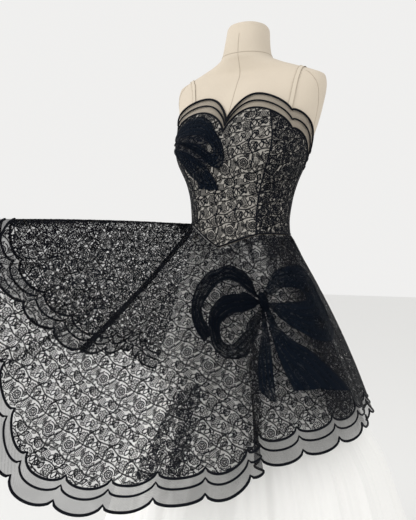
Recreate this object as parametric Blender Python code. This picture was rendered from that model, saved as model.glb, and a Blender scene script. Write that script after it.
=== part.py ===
"""Strapless ball gown on a limbless dress form, in metres, +Z up.

The form faces -Y and its pole stands on the origin. A lace overskirt with a scalloped net border
is drawn out to the wearer's right front, as if a hand held its hem, over a full white underskirt
that clears the floor.
"""

import math
from bisect import bisect_left, bisect_right

import bmesh
import bpy
from mathutils import Vector

# Heights of the main levels
FORM_BOTTOM_Z = 0.800
WAIST_Z = 1.045
BUST_Z = 1.232

# Cloth walls, the air between them, and the rise of the raised cords
SEAM_GAP = 0.0003
BORDER_SEAM_GAP = 0.0009
BODICE_GAP = 0.0013
BODICE_WALL = 0.0020
BORDER_GAP = 0.0020
BORDER_WALL = 0.0012
CORD_RISE = 0.0009
OVERSKIRT_GAP = 0.0024
OVERSKIRT_WALL = 0.0012
WAIST_DROP = 0.0010
UNDERSKIRT_WALL = 0.0015
UNDERSKIRT_TOP_GAP = 0.0005
UNDERSKIRT_TOP_WALL = 0.0011
UNDERSKIRT_DROP = 0.0030
APPLIQUE_GAP = 0.0007
APPLIQUE_WALL = 0.0012

# Dress form: height, half width, depth to the front, depth to the back, centre along Y
TORSO_SECTIONS = [
    (0.800, 0.150, 0.108, 0.112, 0.000),
    (0.840, 0.156, 0.112, 0.117, 0.000),
    (0.880, 0.154, 0.110, 0.116, -0.002),
    (0.920, 0.147, 0.105, 0.110, -0.006),
    (0.960, 0.133, 0.099, 0.101, -0.012),
    (1.010, 0.1165, 0.090, 0.090, -0.021),
    (1.070, 0.1105, 0.082, 0.082, -0.026),
    (1.120, 0.1150, 0.087, 0.088, -0.021),
    (1.160, 0.1245, 0.094, 0.094, -0.015),
    (1.210, 0.1440, 0.103, 0.100, -0.007),
    (1.250, 0.1550, 0.105, 0.102, 0.002),
    (1.300, 0.1690, 0.099, 0.100, 0.014),
    (1.345, 0.1800, 0.085, 0.090, 0.022),
    (1.380, 0.1860, 0.070, 0.075, 0.026),
    (1.400, 0.1830, 0.058, 0.066, 0.027),
    (1.412, 0.1600, 0.052, 0.060, 0.025),
    (1.424, 0.1250, 0.049, 0.056, 0.020),
    (1.437, 0.0870, 0.048, 0.053, 0.015),
    (1.450, 0.0620, 0.050, 0.052, 0.012),
    (1.470, 0.0550, 0.050, 0.050, 0.013),
    (1.500, 0.0510, 0.048, 0.048, 0.017),
    (1.520, 0.0490, 0.046, 0.046, 0.020),
    (1.530, 0.0420, 0.040, 0.040, 0.020),
    (1.534, 0.0250, 0.024, 0.024, 0.020),
]
SECTION_ROUNDNESS = 2.15

# Bust cups: azimuth of the apex, how far it stands out, and how wide it spreads
CUP_AZIMUTH = 38.0
CUP_RISE = 0.030
CUP_SPREAD_DEG = 21.0
CUP_SPREAD_Z = 0.046

# Bodice: azimuth columns from the centre front to the centre back, with the princess seam at 46,
# the side seam at 92, and one column on each scallop's cusp
PRINCESS_AZIMUTH = 46.0
SIDE_AZIMUTH = 92.0
HALF_COLUMNS = {
    "left": (9.2, 18.4, 27.6, 36.8, 46.0, 54.5, 63.0, 70.0, 77.0, 84.5, 92.0,
             98.0, 108.0, 118.0, 129.0, 139.0, 150.0, 160.0, 170.0, 180.0),
    "right": (9.2, 18.4, 27.6, 36.8, 46.0, 56.0, 66.0, 76.0, 81.0, 86.5, 92.0,
              99.0, 107.0, 116.0, 125.0, 134.0, 143.0, 155.0, 168.0, 180.0),
}
BODICE_ROWS = 6

# Waist seam: a shallow point in front, drawn a little to the wearer's right by the held skirt
WAIST_POINT_AZIMUTH = -7.0
WAIST_POINT_DROP = 0.032
WAIST_POINT_REACH = 57.0
WAIST_PULL_AZIMUTH = -70.0
WAIST_PULL_RISE = 0.026
WAIST_PULL_REACH = 32.0

# Neckline from the front to the back, as scallops that end at an azimuth on the wearer's left and
# on their right: heights of the lace, middle and outer edges there, how far each edge rises
# between, and the exponent of the curve
NECK_START = {"lace": 1.260, "middle": 1.275, "outer": 1.287}
NECK_SCALLOPS = [
    {"left": 63.0, "right": 76.0, "lace": 1.263, "middle": 1.284, "outer": 1.306, "rise": 0.052, "power": 0.72},
    {"left": 98.0, "right": 107.0, "lace": 1.190, "middle": 1.208, "outer": 1.226, "rise": 0.020, "power": 0.60},
    {"left": 139.0, "right": 143.0, "lace": 1.186, "middle": 1.204, "outer": 1.222, "rise": 0.014, "power": 0.60},
    {"left": 180.0, "right": 180.0, "lace": 1.184, "middle": 1.202, "outer": 1.220, "rise": 0.014, "power": 0.60},
]

# Overskirt: one row for each line from waist to hem, round the wearer from the held corner.
# waist is the azimuth where the line leaves the waist; x, y, z is its end at the hem; bow is how
# far its middle stands off the straight line, towards the left, the back and up.
OVERSKIRT_LINES = [
    {"line": "held corner", "waist": -77.0, "x": -0.210, "y": -0.561, "z": 1.060, "bow": (0.000, 0.000, 0.004)},
    {"line": "front 1", "waist": -72.0, "x": -0.232, "y": -0.572, "z": 0.908, "bow": (0.000, 0.000, 0.000)},
    {"line": "front 2", "waist": -67.0, "x": -0.230, "y": -0.548, "z": 0.766, "bow": (0.000, 0.000, 0.000)},
    {"line": "front 3", "waist": -60.0, "x": -0.220, "y": -0.511, "z": 0.625, "bow": (0.000, 0.000, 0.000)},
    {"line": "front 4", "waist": -54.0, "x": -0.190, "y": -0.480, "z": 0.574, "bow": (0.000, 0.000, 0.000)},
    {"line": "front 5", "waist": -44.0, "x": -0.104, "y": -0.446, "z": 0.554, "bow": (0.000, -0.004, 0.000)},
    {"line": "front 6", "waist": -34.0, "x": -0.034, "y": -0.424, "z": 0.564, "bow": (0.000, -0.006, 0.000)},
    {"line": "front 7", "waist": -22.0, "x": 0.056, "y": -0.393, "z": 0.580, "bow": (0.000, -0.008, 0.000)},
    {"line": "front 8", "waist": -12.0, "x": 0.113, "y": -0.355, "z": 0.581, "bow": (0.002, -0.010, 0.000)},
    {"line": "front 9", "waist": -3.0, "x": 0.147, "y": -0.307, "z": 0.593, "bow": (0.004, -0.012, 0.000)},
    {"line": "fold crest", "waist": 4.0, "x": 0.162, "y": -0.267, "z": 0.611, "bow": (0.006, -0.012, 0.000)},
    {"line": "fold inside", "waist": 9.0, "x": 0.131, "y": -0.242, "z": 0.606, "bow": (0.022, -0.016, 0.002)},
    {"line": "fold end", "waist": 14.0, "x": 0.169, "y": -0.230, "z": 0.611, "bow": (0.006, -0.012, 0.000)},
    {"line": "left front 1", "waist": 24.0, "x": 0.207, "y": -0.179, "z": 0.614, "bow": (0.006, -0.010, 0.000)},
    {"line": "left front 2", "waist": 42.0, "x": 0.248, "y": -0.127, "z": 0.623, "bow": (0.008, -0.006, 0.000)},
    {"line": "left front 3", "waist": 62.0, "x": 0.269, "y": -0.078, "z": 0.626, "bow": (0.008, -0.003, 0.000)},
    {"line": "left side crest", "waist": 83.0, "x": 0.281, "y": -0.012, "z": 0.633, "bow": (0.008, 0.000, 0.000)},
    {"line": "left side fold", "waist": 98.0, "x": 0.257, "y": 0.122, "z": 0.620, "bow": (0.009, 0.003, 0.000)},
    {"line": "left back", "waist": 113.0, "x": 0.244, "y": 0.224, "z": 0.615, "bow": (0.008, 0.006, 0.000)},
    {"line": "back 1", "waist": 130.0, "x": 0.185, "y": 0.287, "z": 0.607, "bow": (0.006, 0.008, 0.000)},
    {"line": "back fold 1", "waist": 146.0, "x": 0.108, "y": 0.290, "z": 0.603, "bow": (0.003, 0.009, 0.000)},
    {"line": "back crest 1", "waist": 162.0, "x": 0.045, "y": 0.344, "z": 0.600, "bow": (0.002, 0.010, 0.000)},
    {"line": "back centre", "waist": 180.0, "x": -0.030, "y": 0.315, "z": 0.600, "bow": (0.000, 0.010, 0.000)},
    {"line": "back crest 2", "waist": 197.0, "x": -0.107, "y": 0.339, "z": 0.602, "bow": (-0.002, 0.010, 0.000)},
    {"line": "back fold 2", "waist": 212.0, "x": -0.168, "y": 0.268, "z": 0.608, "bow": (-0.004, 0.009, 0.000)},
    {"line": "back crest 3", "waist": 226.0, "x": -0.250, "y": 0.251, "z": 0.624, "bow": (-0.006, 0.009, 0.000)},
    {"line": "right back fold", "waist": 240.0, "x": -0.272, "y": 0.150, "z": 0.660, "bow": (-0.012, 0.012, 0.000)},
    {"line": "right side", "waist": 252.0, "x": -0.322, "y": 0.050, "z": 0.716, "bow": (-0.020, 0.020, 0.000)},
    {"line": "right front 1", "waist": 262.0, "x": -0.276, "y": -0.063, "z": 0.767, "bow": (-0.030, 0.030, -0.010)},
    {"line": "right front 2", "waist": 269.0, "x": -0.238, "y": -0.199, "z": 0.786, "bow": (-0.030, 0.035, -0.015)},
    {"line": "right seam", "waist": 274.0, "x": -0.216, "y": -0.322, "z": 0.808, "bow": (-0.020, 0.030, -0.010)},
    {"line": "right front 3", "waist": 277.0, "x": -0.224, "y": -0.380, "z": 0.845, "bow": (-0.016, 0.022, -0.006)},
    {"line": "right front 4", "waist": 279.0, "x": -0.229, "y": -0.449, "z": 0.897, "bow": (-0.012, 0.014, -0.004)},
    {"line": "right front 5", "waist": 281.0, "x": -0.233, "y": -0.517, "z": 0.973, "bow": (-0.006, 0.006, 0.000)},
]
BORDER_INNER = 0.018
BORDER_OUTER = 0.027
SCALLOP_PITCH = 0.092
SCALLOP_DEPTH = 0.017
SCALLOP_POWER = 0.60
SCALLOP_COLUMNS = 4
OVERSKIRT_ROWS = (0.0, 0.06, 0.20, 0.42, 0.66)
SEAM_LINES = {"right": "right seam", "left": "left side crest", "back": "back centre"}

# Underskirt: height, half width, half depth, centre along Y
UNDERSKIRT_SECTIONS = [
    (1.045, 0.1125, 0.0850, -0.024),
    (1.010, 0.1200, 0.0950, -0.021),
    (0.960, 0.1395, 0.1120, -0.012),
    (0.900, 0.1600, 0.1350, -0.002),
    (0.800, 0.1950, 0.1780, 0.014),
    (0.700, 0.2280, 0.2180, 0.030),
    (0.620, 0.2500, 0.2450, 0.042),
    (0.540, 0.2920, 0.2900, 0.048),
    (0.400, 0.3400, 0.3380, 0.054),
    (0.200, 0.4100, 0.4100, 0.060),
    (0.012, 0.4750, 0.4750, 0.064),
]
UNDERSKIRT_LEVELS = (0.970, 0.880, 0.760, 0.620, 0.420, 0.210, 0.012)
UNDERSKIRT_FOLDS = 20
UNDERSKIRT_FOLD_DEPTH = 0.017
UNDERSKIRT_FOLD_COLUMNS = 4

# Ribbons of the bow on the skirt, as pairs of points on their two edges. A turn is one scallop
# round the hem from the held corner; drop is metres down from the waist.
SKIRT_KNOT = {"turn": 12.18, "drop": 0.139, "half_turn": 0.10, "half_drop": 0.018}
SKIRT_BOW = {
    "upper_loop": [
        ((11.98, 0.118), (11.96, 0.128)), ((11.90, 0.084), (11.60, 0.112)), ((11.33, 0.061), (11.05, 0.091)),
        ((10.16, 0.048), (10.05, 0.081)), ((8.95, 0.070), (9.39, 0.094)), ((8.27, 0.109), (8.85, 0.133)),
        ((8.05, 0.148), (8.62, 0.161)), ((8.17, 0.183), (8.64, 0.182)), ((8.48, 0.207), (8.78, 0.197)),
        ((8.80, 0.222), (8.93, 0.205)),
    ],
    "lower_loop": [
        ((11.96, 0.134), (11.94, 0.143)), ((11.47, 0.115), (11.45, 0.152)), ((10.40, 0.114), (10.56, 0.153)),
        ((9.65, 0.120), (9.88, 0.164)), ((9.16, 0.148), (9.55, 0.177)), ((8.99, 0.176), (9.48, 0.195)),
        ((9.04, 0.206), (9.53, 0.211)), ((9.20, 0.235), (9.67, 0.219)), ((9.60, 0.249), (9.86, 0.222)),
        ((10.15, 0.250), (10.08, 0.218)), ((10.70, 0.240), (10.52, 0.200)), ((11.12, 0.228), (11.05, 0.186)),
        ((11.45, 0.212), (11.40, 0.172)), ((11.90, 0.168), (11.88, 0.156)),
    ],
    "left_side_loop": [
        ((12.32, 0.120), (12.34, 0.128)), ((12.76, 0.091), (12.60, 0.128)), ((13.25, 0.076), (12.95, 0.121)),
        ((14.00, 0.074), (13.30, 0.122)), ((14.80, 0.098), (13.52, 0.130)), ((15.10, 0.150), (13.58, 0.140)),
        ((14.90, 0.208), (13.54, 0.150)), ((14.25, 0.242), (13.40, 0.153)), ((13.55, 0.243), (13.15, 0.154)),
        ((12.95, 0.218), (12.85, 0.153)), ((12.53, 0.183), (12.60, 0.150)), ((12.34, 0.156), (12.37, 0.146)),
    ],
    "wide_tail": [
        ((12.13, 0.163), (12.28, 0.163)), ((12.11, 0.190), (12.36, 0.198)), ((12.08, 0.228), (12.66, 0.232)),
        ((12.12, 0.280), (13.25, 0.278)), ((12.22, 0.327), (13.98, 0.356)),
    ],
    "narrow_tail": [
        ((11.98, 0.163), (12.07, 0.163)), ((11.78, 0.200), (12.00, 0.205)), ((11.45, 0.243), (11.90, 0.243)),
        ((11.27, 0.289), (11.76, 0.289)), ((11.26, 0.312), (11.69, 0.315)), ((11.50, 0.335), (11.64, 0.342)),
    ],
}

# Ribbons of the bow on the bodice, on their two edges as azimuth and height
BODICE_KNOT = {"turn": -75.0, "drop": 1.250, "half_turn": 4.0, "half_drop": 0.012}
BODICE_BOW = {
    "front_loop": [
        ((-70.0, 1.264), (-70.0, 1.260)), ((-62.0, 1.272), (-58.0, 1.260)), ((-52.5, 1.2925), (-44.0, 1.257)),
        ((-43.0, 1.302), (-34.0, 1.257)), ((-30.0, 1.3015), (-27.0, 1.2575)), ((-17.0, 1.2845), (-20.0, 1.2525)),
        ((-8.0, 1.261), (-13.5, 1.239)), ((0.0, 1.2405), (-9.0, 1.2265)), ((5.0, 1.214), (-8.0, 1.221)),
        ((3.0, 1.1925), (-9.5, 1.2165)), ((-4.0, 1.1855), (-13.0, 1.2185)), ((-12.0, 1.191), (-19.0, 1.230)),
        ((-19.0, 1.208), (-26.0, 1.2385)), ((-30.0, 1.228), (-35.0, 1.2425)), ((-45.0, 1.242), (-48.0, 1.249)),
        ((-68.0, 1.249), (-68.0, 1.253)),
    ],
    "front_tail": [
        ((-69.0, 1.239), (-67.0, 1.245)), ((-54.0, 1.224), (-50.0, 1.236)), ((-44.0, 1.205), (-36.0, 1.2245)),
        ((-41.5, 1.190), (-26.0, 1.210)), ((-39.0, 1.177), (-20.0, 1.196)), ((-35.0, 1.165), (-14.5, 1.178)),
        ((-33.0, 1.155), (-9.0, 1.158)), ((-35.0, 1.144), (-5.5, 1.138)),
    ],
    "back_loop": [
        ((-80.0, 1.248), (-80.0, 1.243)), ((-88.0, 1.232), (-87.0, 1.222)), ((-97.0, 1.205), (-95.0, 1.198)),
        ((-106.0, 1.182), (-102.0, 1.176)), ((-116.0, 1.172), (-108.0, 1.163)), ((-124.0, 1.160), (-112.0, 1.155)),
        ((-127.0, 1.142), (-112.0, 1.149)), ((-121.0, 1.128), (-109.0, 1.147)), ((-110.0, 1.128), (-104.0, 1.153)),
        ((-99.0, 1.150), (-97.0, 1.170)), ((-90.0, 1.185), (-90.0, 1.200)), ((-81.0, 1.231), (-82.0, 1.236)),
    ],
}
RIBBON_ROW_STEPS = 1
KNOT_SIDES = 10
KNOT_LAYERS = ((1.00, 0.0), (1.00, 0.0018), (0.72, 0.0042), (0.35, 0.0052))

# Shoulder straps: sideways place at the front end, on top and at the back end
STRAPS = {
    "strap_left": {"front": 0.130, "top": 0.139, "back": 0.118},
    "strap_right": {"front": -0.105, "top": -0.147, "back": -0.118},
}
STRAP_WIDTH = 0.008
STRAP_END_GAP = 0.0020
STRAP_STEPS = 9

# Strips: inside the skirt's right seam, and over the closing at the back of the bodice
SEAM_STRIP_TURNS = 0.17
SEAM_STRIP_ENDS = (0.040, 0.325)
PLACKET_HALF_TURN = 5.0

# Dress form and the stand under it
FORM_HIGH_LEVELS = (1.534, 1.530, 1.515, 1.485, 1.452, 1.437, 1.424, 1.412, 1.405, 1.396, 1.380, 1.358)
FORM_LOW_LEVELS = (1.004, 0.965, 0.910, 0.850, 0.800)
POLE_RADIUS = 0.016
POLE_SIDES = 20
BASE_RADIUS = 0.200
BASE_HEIGHT = 0.022
BASE_SIDES = 28
HUB_RADIUS = 0.034
HUB_HEIGHT = 0.045
STAND_GAP = 0.0003


def interpolate(table, key, at):
    """Smooth value of each column of a table at a height, in any order of rows."""
    rows = sorted(table, key=lambda row: row[0])
    at = min(max(at, rows[0][0]), rows[-1][0])
    k = 0
    while k < len(rows) - 2 and rows[k + 1][0] < at:
        k += 1
    low, high = rows[k], rows[k + 1]
    span = high[0] - low[0]
    t = (at - low[0]) / span
    before = rows[k - 1] if k else low
    after = rows[k + 2] if k + 2 < len(rows) else high
    slope_low = limited_slope(before, low, high, key) * span
    slope_high = limited_slope(low, high, after, key) * span
    return hermite(low[key], high[key], slope_low, slope_high, t)


def limited_slope(a, b, c, key):
    """Slope at row b that never overshoots its neighbours."""
    if b[0] == a[0] or c[0] == b[0]:
        return 0.0
    left = (b[key] - a[key]) / (b[0] - a[0])
    right = (c[key] - b[key]) / (c[0] - b[0])
    if left * right <= 0:
        return 0.0
    return 2 * left * right / (left + right)


def hermite(p0, p1, m0, m1, t):
    t2, t3 = t * t, t * t * t
    return p0 * (2 * t3 - 3 * t2 + 1) + m0 * (t3 - 2 * t2 + t) + p1 * (3 * t2 - 2 * t3) + m1 * (t3 - t2)


def angle_between(a, b):
    """Smallest angle between two azimuths, in degrees."""
    return abs((a - b + 180.0) % 360.0 - 180.0)


def torso_radius(azimuth, z):
    """Distance from the section's centre to the form's skin, at an azimuth from the front."""
    width = interpolate(TORSO_SECTIONS, 1, z)
    side, ahead = math.sin(math.radians(azimuth)), math.cos(math.radians(azimuth))
    depth = interpolate(TORSO_SECTIONS, 2 if ahead > 0 else 3, z)
    n = SECTION_ROUNDNESS
    radius = (abs(side / width) ** n + abs(ahead / depth) ** n) ** (-1 / n)
    for apex in (CUP_AZIMUTH, -CUP_AZIMUTH):
        across = angle_between(azimuth, apex) / CUP_SPREAD_DEG
        up = (z - BUST_Z) / CUP_SPREAD_Z
        radius += CUP_RISE * math.exp(-0.5 * (across * across + up * up))
    return radius


def torso_point(azimuth, z, off=0.0):
    """Point at a distance off outside the form's skin, on the ray of that azimuth."""
    radius = torso_radius(azimuth, z) + off
    a = math.radians(azimuth)
    return Vector((radius * math.sin(a), interpolate(TORSO_SECTIONS, 4, z) - radius * math.cos(a), z))


def outside_torso(p):
    """How far a point is outside the form's skin, measured level; negative inside."""
    ahead = interpolate(TORSO_SECTIONS, 4, p.z) - p.y
    return math.hypot(p.x, ahead) - torso_radius(math.degrees(math.atan2(p.x, ahead)), p.z)


def torso_normal(p):
    step = 0.001
    slope = [
        outside_torso(p + Vector(axis) * step) - outside_torso(p - Vector(axis) * step)
        for axis in ((1, 0, 0), (0, 1, 0), (0, 0, 1))
    ]
    return Vector(slope).normalized()


def waist_seam_z(azimuth):
    """Height of the seam between bodice and skirts."""
    point = max(0.0, 1 - angle_between(azimuth, WAIST_POINT_AZIMUTH) / WAIST_POINT_REACH)
    pull = angle_between(azimuth, WAIST_PULL_AZIMUTH) / WAIST_PULL_REACH
    return WAIST_Z - WAIST_POINT_DROP * point ** 1.1 + WAIST_PULL_RISE * math.exp(-0.5 * pull * pull)


def neckline_z(azimuth, edge):
    """Height of one of the neckline's three scalloped edges: lace, middle or outer."""
    across = angle_between(azimuth, 0.0)
    side = "left" if azimuth >= 0 else "right"
    start, low = 0.0, NECK_START[edge]
    for scallop in NECK_SCALLOPS:
        if across <= scallop[side] + 1e-6:
            t = (across - start) / (scallop[side] - start)
            line = low + (scallop[edge] - low) * t
            return line + scallop["rise"] * max(0.0, 4 * t * (1 - t)) ** scallop["power"]
        start, low = scallop[side], scallop[edge]
    return low


def material(name, color, roughness, metallic=0.0):
    made = bpy.data.materials.new(name)
    made.use_nodes = True
    shader = made.node_tree.nodes["Principled BSDF"]
    shader.inputs["Base Color"].default_value = (*color, 1.0)
    shader.inputs["Roughness"].default_value = roughness
    shader.inputs["Metallic"].default_value = metallic
    return made


def make_object(name, points, faces, finish):
    """Smooth shaded mesh whose faces point out."""
    mesh = bpy.data.meshes.new(name)
    mesh.from_pydata([tuple(p) for p in points], [], faces)
    mesh.materials.append(finish)
    shell = bmesh.new()
    shell.from_mesh(mesh)
    if shell.calc_volume(signed=True) < 0:
        bmesh.ops.reverse_faces(shell, faces=shell.faces)
    shell.to_mesh(mesh)
    shell.free()
    mesh.shade_smooth()
    made = bpy.data.objects.new(name, mesh)
    bpy.context.scene.collection.objects.link(made)
    return made


def strip_faces(upper, lower, flip=False):
    """Triangles between two rows of point numbers."""
    faces = []
    for k in range(len(upper) - 1):
        faces.append((upper[k], lower[k], lower[k + 1]))
        faces.append((upper[k], lower[k + 1], upper[k + 1]))
    return [tuple(reversed(f)) for f in faces] if flip else faces


def wall(name, outer, inner, finish):
    """Closed solid between two sheets of points, given as rows from top to bottom."""
    points, sheets = [], []
    for sheet in (outer, inner):
        rows = []
        for row in sheet:
            rows.append(list(range(len(points), len(points) + len(row))))
            points.extend(row)
        sheets.append(rows)
    faces = []
    for rows, flip in zip(sheets, (False, True)):
        for upper, lower in zip(rows, rows[1:]):
            faces.extend(strip_faces(upper, lower, flip))
    out, ins = sheets
    for row, flip in ((0, True), (-1, False)):
        faces.extend(strip_faces(out[row], ins[row], flip))
    for column, flip in ((0, False), (-1, True)):
        faces.extend(strip_faces([row[column] for row in out], [row[column] for row in ins], flip))
    return make_object(name, points, faces, finish)


def closed_loft(name, rings, finish):
    """Solid of stacked rings, with a flat cap at each end."""
    points, faces = [], []
    count = len(rings[0])
    for ring in rings:
        points.extend(ring)
    for r in range(len(rings) - 1):
        upper = [r * count + k for k in range(count)] + [r * count]
        lower = [(r + 1) * count + k for k in range(count)] + [(r + 1) * count]
        faces.extend(strip_faces(upper, lower))
    faces.append(tuple(range(count)))
    faces.append(tuple(reversed(range((len(rings) - 1) * count, len(rings) * count))))
    return make_object(name, points, faces, finish)


def cut_flat(flat, faces, start, end):
    """Cut the faces of a flat mesh along the line through two places."""
    along = (end[0] - start[0], end[1] - start[1])
    size = math.hypot(*along)
    if size == 0.0 or not faces:
        return
    geometry = list(faces)
    geometry += list({e for f in faces for e in f.edges}) + list({v for f in faces for v in f.verts})
    across = (-along[1] / size, along[0] / size, 0.0)
    bmesh.ops.bisect_plane(flat, geom=geometry, dist=1e-5, plane_co=(*start, 0.0), plane_no=across)


def ordered_edge(edge):
    """The two points of a boundary edge, in the order in which its face runs round them."""
    loop = edge.link_loops[0]
    return loop.vert, loop.link_loop_next.vert


class Cloth:
    """A sheet as a grid of points on its two faces: columns run round the wearer, rows run down.

    columns are numbers that grow round the wearer, and levels give each point's place down its
    column, so a place on the sheet is named by a column number and a level.
    """

    def __init__(self, columns, levels, outer, inner):
        self.columns, self.levels, self.outer, self.inner = columns, levels, outer, inner

    def panel(self, name, start, end, gap, finish):
        """Solid of the columns between two seams, each side edge drawn back by the gap."""
        first = min(range(len(self.columns)), key=lambda k: abs(self.columns[k] - start))
        last = min(range(len(self.columns)), key=lambda k: abs(self.columns[k] - end))
        faces = []
        for sheet in (self.outer, self.inner):
            rows = [list(row[first:last + 1]) for row in sheet]
            for row in rows:
                row[0] = row[0] + (row[1] - row[0]).normalized() * gap
                row[-1] = row[-1] + (row[-2] - row[-1]).normalized() * gap
            faces.append(rows)
        return wall(name, faces[0], faces[1], finish)

    def place(self, column, level):
        """Grid cell of a column number and a level, and the weights of the cell's four corners."""
        period = self.columns[-1] - self.columns[0]
        column = self.columns[0] + (column - self.columns[0]) % period
        c = min(bisect_right(self.columns, column) - 1, len(self.columns) - 2)
        across = (column - self.columns[c]) / (self.columns[c + 1] - self.columns[c])
        edges = [row[c] + (row[c + 1] - row[c]) * across for row in self.levels]
        r = 0
        while r < len(edges) - 2 and (edges[r + 1] - level) * (edges[0] - edges[-1]) >= 0:
            r += 1
        upper, lower = self.levels[r], self.levels[r + 1]
        below_diagonal = level - upper[c] - (lower[c + 1] - upper[c]) * across
        if below_diagonal * (lower[c] - upper[c]) > 0:
            share = below_diagonal / (lower[c] - upper[c])
            return r, c, (1 - across - share, 0.0, share, across)
        share = (level - edges[r]) / (lower[c + 1] - upper[c + 1])
        return r, c, (1 - across, across - share, 0.0, share)

    def on_face(self, sheet, r, c, weights):
        """Point on the flat triangles between four points of the grid."""
        corners = (sheet[r][c], sheet[r][c + 1], sheet[r + 1][c], sheet[r + 1][c + 1])
        return sum((p * w for p, w in zip(corners, weights)), Vector((0, 0, 0)))

    def outside(self, column, level):
        """Point on the outer face, and the direction out of it."""
        cell = self.place(column, level)
        p = self.on_face(self.outer, *cell)
        return p, (p - self.on_face(self.inner, *cell)).normalized()

    def inside(self, column, level):
        """Point on the inner face, and the direction out of it."""
        cell = self.place(column, level)
        p = self.on_face(self.inner, *cell)
        return p, (p - self.on_face(self.outer, *cell)).normalized()

    def crease(self, flat):
        """Cut a flat mesh of column numbers and levels along the edges of the grid's triangles."""
        period = self.columns[-1] - self.columns[0]
        low, high = min(v.co.x for v in flat.verts), max(v.co.x for v in flat.verts)
        shift = math.floor((low - self.columns[0]) / period) * period
        count = len(self.columns) - 1
        starts = [(k, self.columns[k] + shift + turn) for turn in (0.0, period) for k in range(count)]
        for c, start in starts:
            end = start + self.columns[c + 1] - self.columns[c]
            if end <= low or start >= high:
                continue
            cut_flat(flat, flat.faces, (start, 0.0), (start, 1.0))
            cut_flat(flat, flat.faces, (end, 0.0), (end, 1.0))
            for row in self.levels:
                strip = [f for f in flat.faces if start < f.calc_center_median().x < end]
                cut_flat(flat, strip, (start, row[c]), (end, row[c + 1]))
            for r in range(len(self.levels) - 1):
                strip = [f for f in flat.faces if start < f.calc_center_median().x < end]
                cell = [f for f in strip if self.place(*f.calc_center_median().xy)[0] == r]
                cut_flat(flat, cell, (start, self.levels[r][c]), (end, self.levels[r + 1][c + 1]))

    def applique(self, name, rows, face, finish):
        """Thin strip laid on one face of the cloth; rows are pairs of places on its two edges."""
        flat = bmesh.new()
        grid = [[flat.verts.new((*place, 0.0)) for place in row] for row in rows]
        for upper, lower in zip(grid, grid[1:]):
            for k in range(len(upper) - 1):
                flat.faces.new((upper[k], upper[k + 1], lower[k + 1], lower[k]))
        self.crease(flat)
        bmesh.ops.triangulate(flat, faces=flat.faces)
        flat.verts.index_update()
        count = len(flat.verts)
        laid = [face(*v.co.xy) for v in flat.verts]
        points = [p + n * (APPLIQUE_GAP + APPLIQUE_WALL) for p, n in laid]
        points += [p + n * APPLIQUE_GAP for p, n in laid]
        faces = []
        for f in flat.faces:
            corners = [v.index for v in f.verts]
            faces.append(tuple(corners))
            faces.append(tuple(k + count for k in reversed(corners)))
        for edge in flat.edges:
            if edge.is_boundary:
                a, b = (v.index for v in ordered_edge(edge))
                faces += [(b, a, a + count), (b, a + count, b + count)]
        flat.free()
        return make_object(name, points, faces, finish)


def torso_columns():
    right = [-a for a in reversed(HALF_COLUMNS["right"])]
    return right + [0.0] + list(HALF_COLUMNS["left"])


def torso_cloth(columns, heights, gap, walls):
    """Cloth that follows the form, with each row's height worked out from the azimuth."""
    levels = [[height(a) for a in columns] for height in heights]
    outer = [
        [torso_point(a, z, gap + thick) for a, z in zip(columns, row)] for row, thick in zip(levels, walls)
    ]
    inner = [[torso_point(a, z, gap) for a, z in zip(columns, row)] for row in levels]
    return Cloth(columns, levels, outer, inner)


def bodice_height(row):
    """Height of a row of the bodice as a function of azimuth, counted from the top."""
    share = 1 - row / BODICE_ROWS

    def height(azimuth):
        bottom = waist_seam_z(azimuth) + SEAM_GAP
        return bottom + (neckline_z(azimuth, "lace") - bottom) * share

    return height


def bodice(lace, net):
    """Five panels between princess, side and back seams, and the net border above them."""
    columns = torso_columns()
    heights = [bodice_height(row) for row in range(BODICE_ROWS + 1)]
    cloth = torso_cloth(columns, heights, BODICE_GAP, [BODICE_WALL] * len(heights))
    seams = (
        ("bodice_back_right", -180.0, -SIDE_AZIMUTH), ("bodice_side_right", -SIDE_AZIMUTH, -PRINCESS_AZIMUTH),
        ("bodice_front", -PRINCESS_AZIMUTH, PRINCESS_AZIMUTH), ("bodice_side_left", PRINCESS_AZIMUTH, SIDE_AZIMUTH),
        ("bodice_back_left", SIDE_AZIMUTH, 180.0),
    )
    for name, start, end in seams:
        cloth.panel(name, start, end, SEAM_GAP, lace)
    border_heights = [
        lambda a: neckline_z(a, "outer"), lambda a: neckline_z(a, "middle"),
        lambda a: neckline_z(a, "lace") + BORDER_SEAM_GAP,
    ]
    walls = [BORDER_WALL + CORD_RISE, BORDER_WALL + CORD_RISE, BORDER_WALL]
    border = torso_cloth(columns, border_heights, BORDER_GAP, walls)
    border.panel("neckline_border", -180.0, 180.0, SEAM_GAP, net)
    top, bottom = neckline_z(180.0, "lace") - 0.002, waist_seam_z(180.0) + 0.002
    rows = [((180.0 - PLACKET_HALF_TURN, z), (180.0 + PLACKET_HALF_TURN, z)) for z in (top, bottom)]
    cloth.applique("bodice_back_placket", rows, cloth.outside, lace)
    bow("bodice_bow", BODICE_BOW, BODICE_KNOT, cloth, net)


def form_body(finish):
    """Torso and neck of the dress form, with its facets under those of the bodice."""
    columns = torso_columns()
    levels = [[z] * len(columns) for z in FORM_HIGH_LEVELS]
    for share in (0.70, 0.35):
        edges = [neckline_z(a, "outer") for a in columns]
        levels.append([edge + (FORM_HIGH_LEVELS[-1] - edge) * share for edge in edges])
    levels += [[neckline_z(a, edge) for a in columns] for edge in ("outer", "middle")]
    levels += [[bodice_height(row)(a) for a in columns] for row in range(BODICE_ROWS)]
    levels.append([waist_seam_z(a) - SEAM_GAP for a in columns])
    levels += [[z] * len(columns) for z in FORM_LOW_LEVELS]
    skin = [[torso_point(a, z) for a, z in zip(columns, row)] for row in levels]
    under = [[p - torso_normal(p) * 0.005 for p in row] for row in skin]
    closed_loft("form_body", [row[:-1] for row in skin], finish)
    return Cloth(columns, levels, skin, under)


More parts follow.
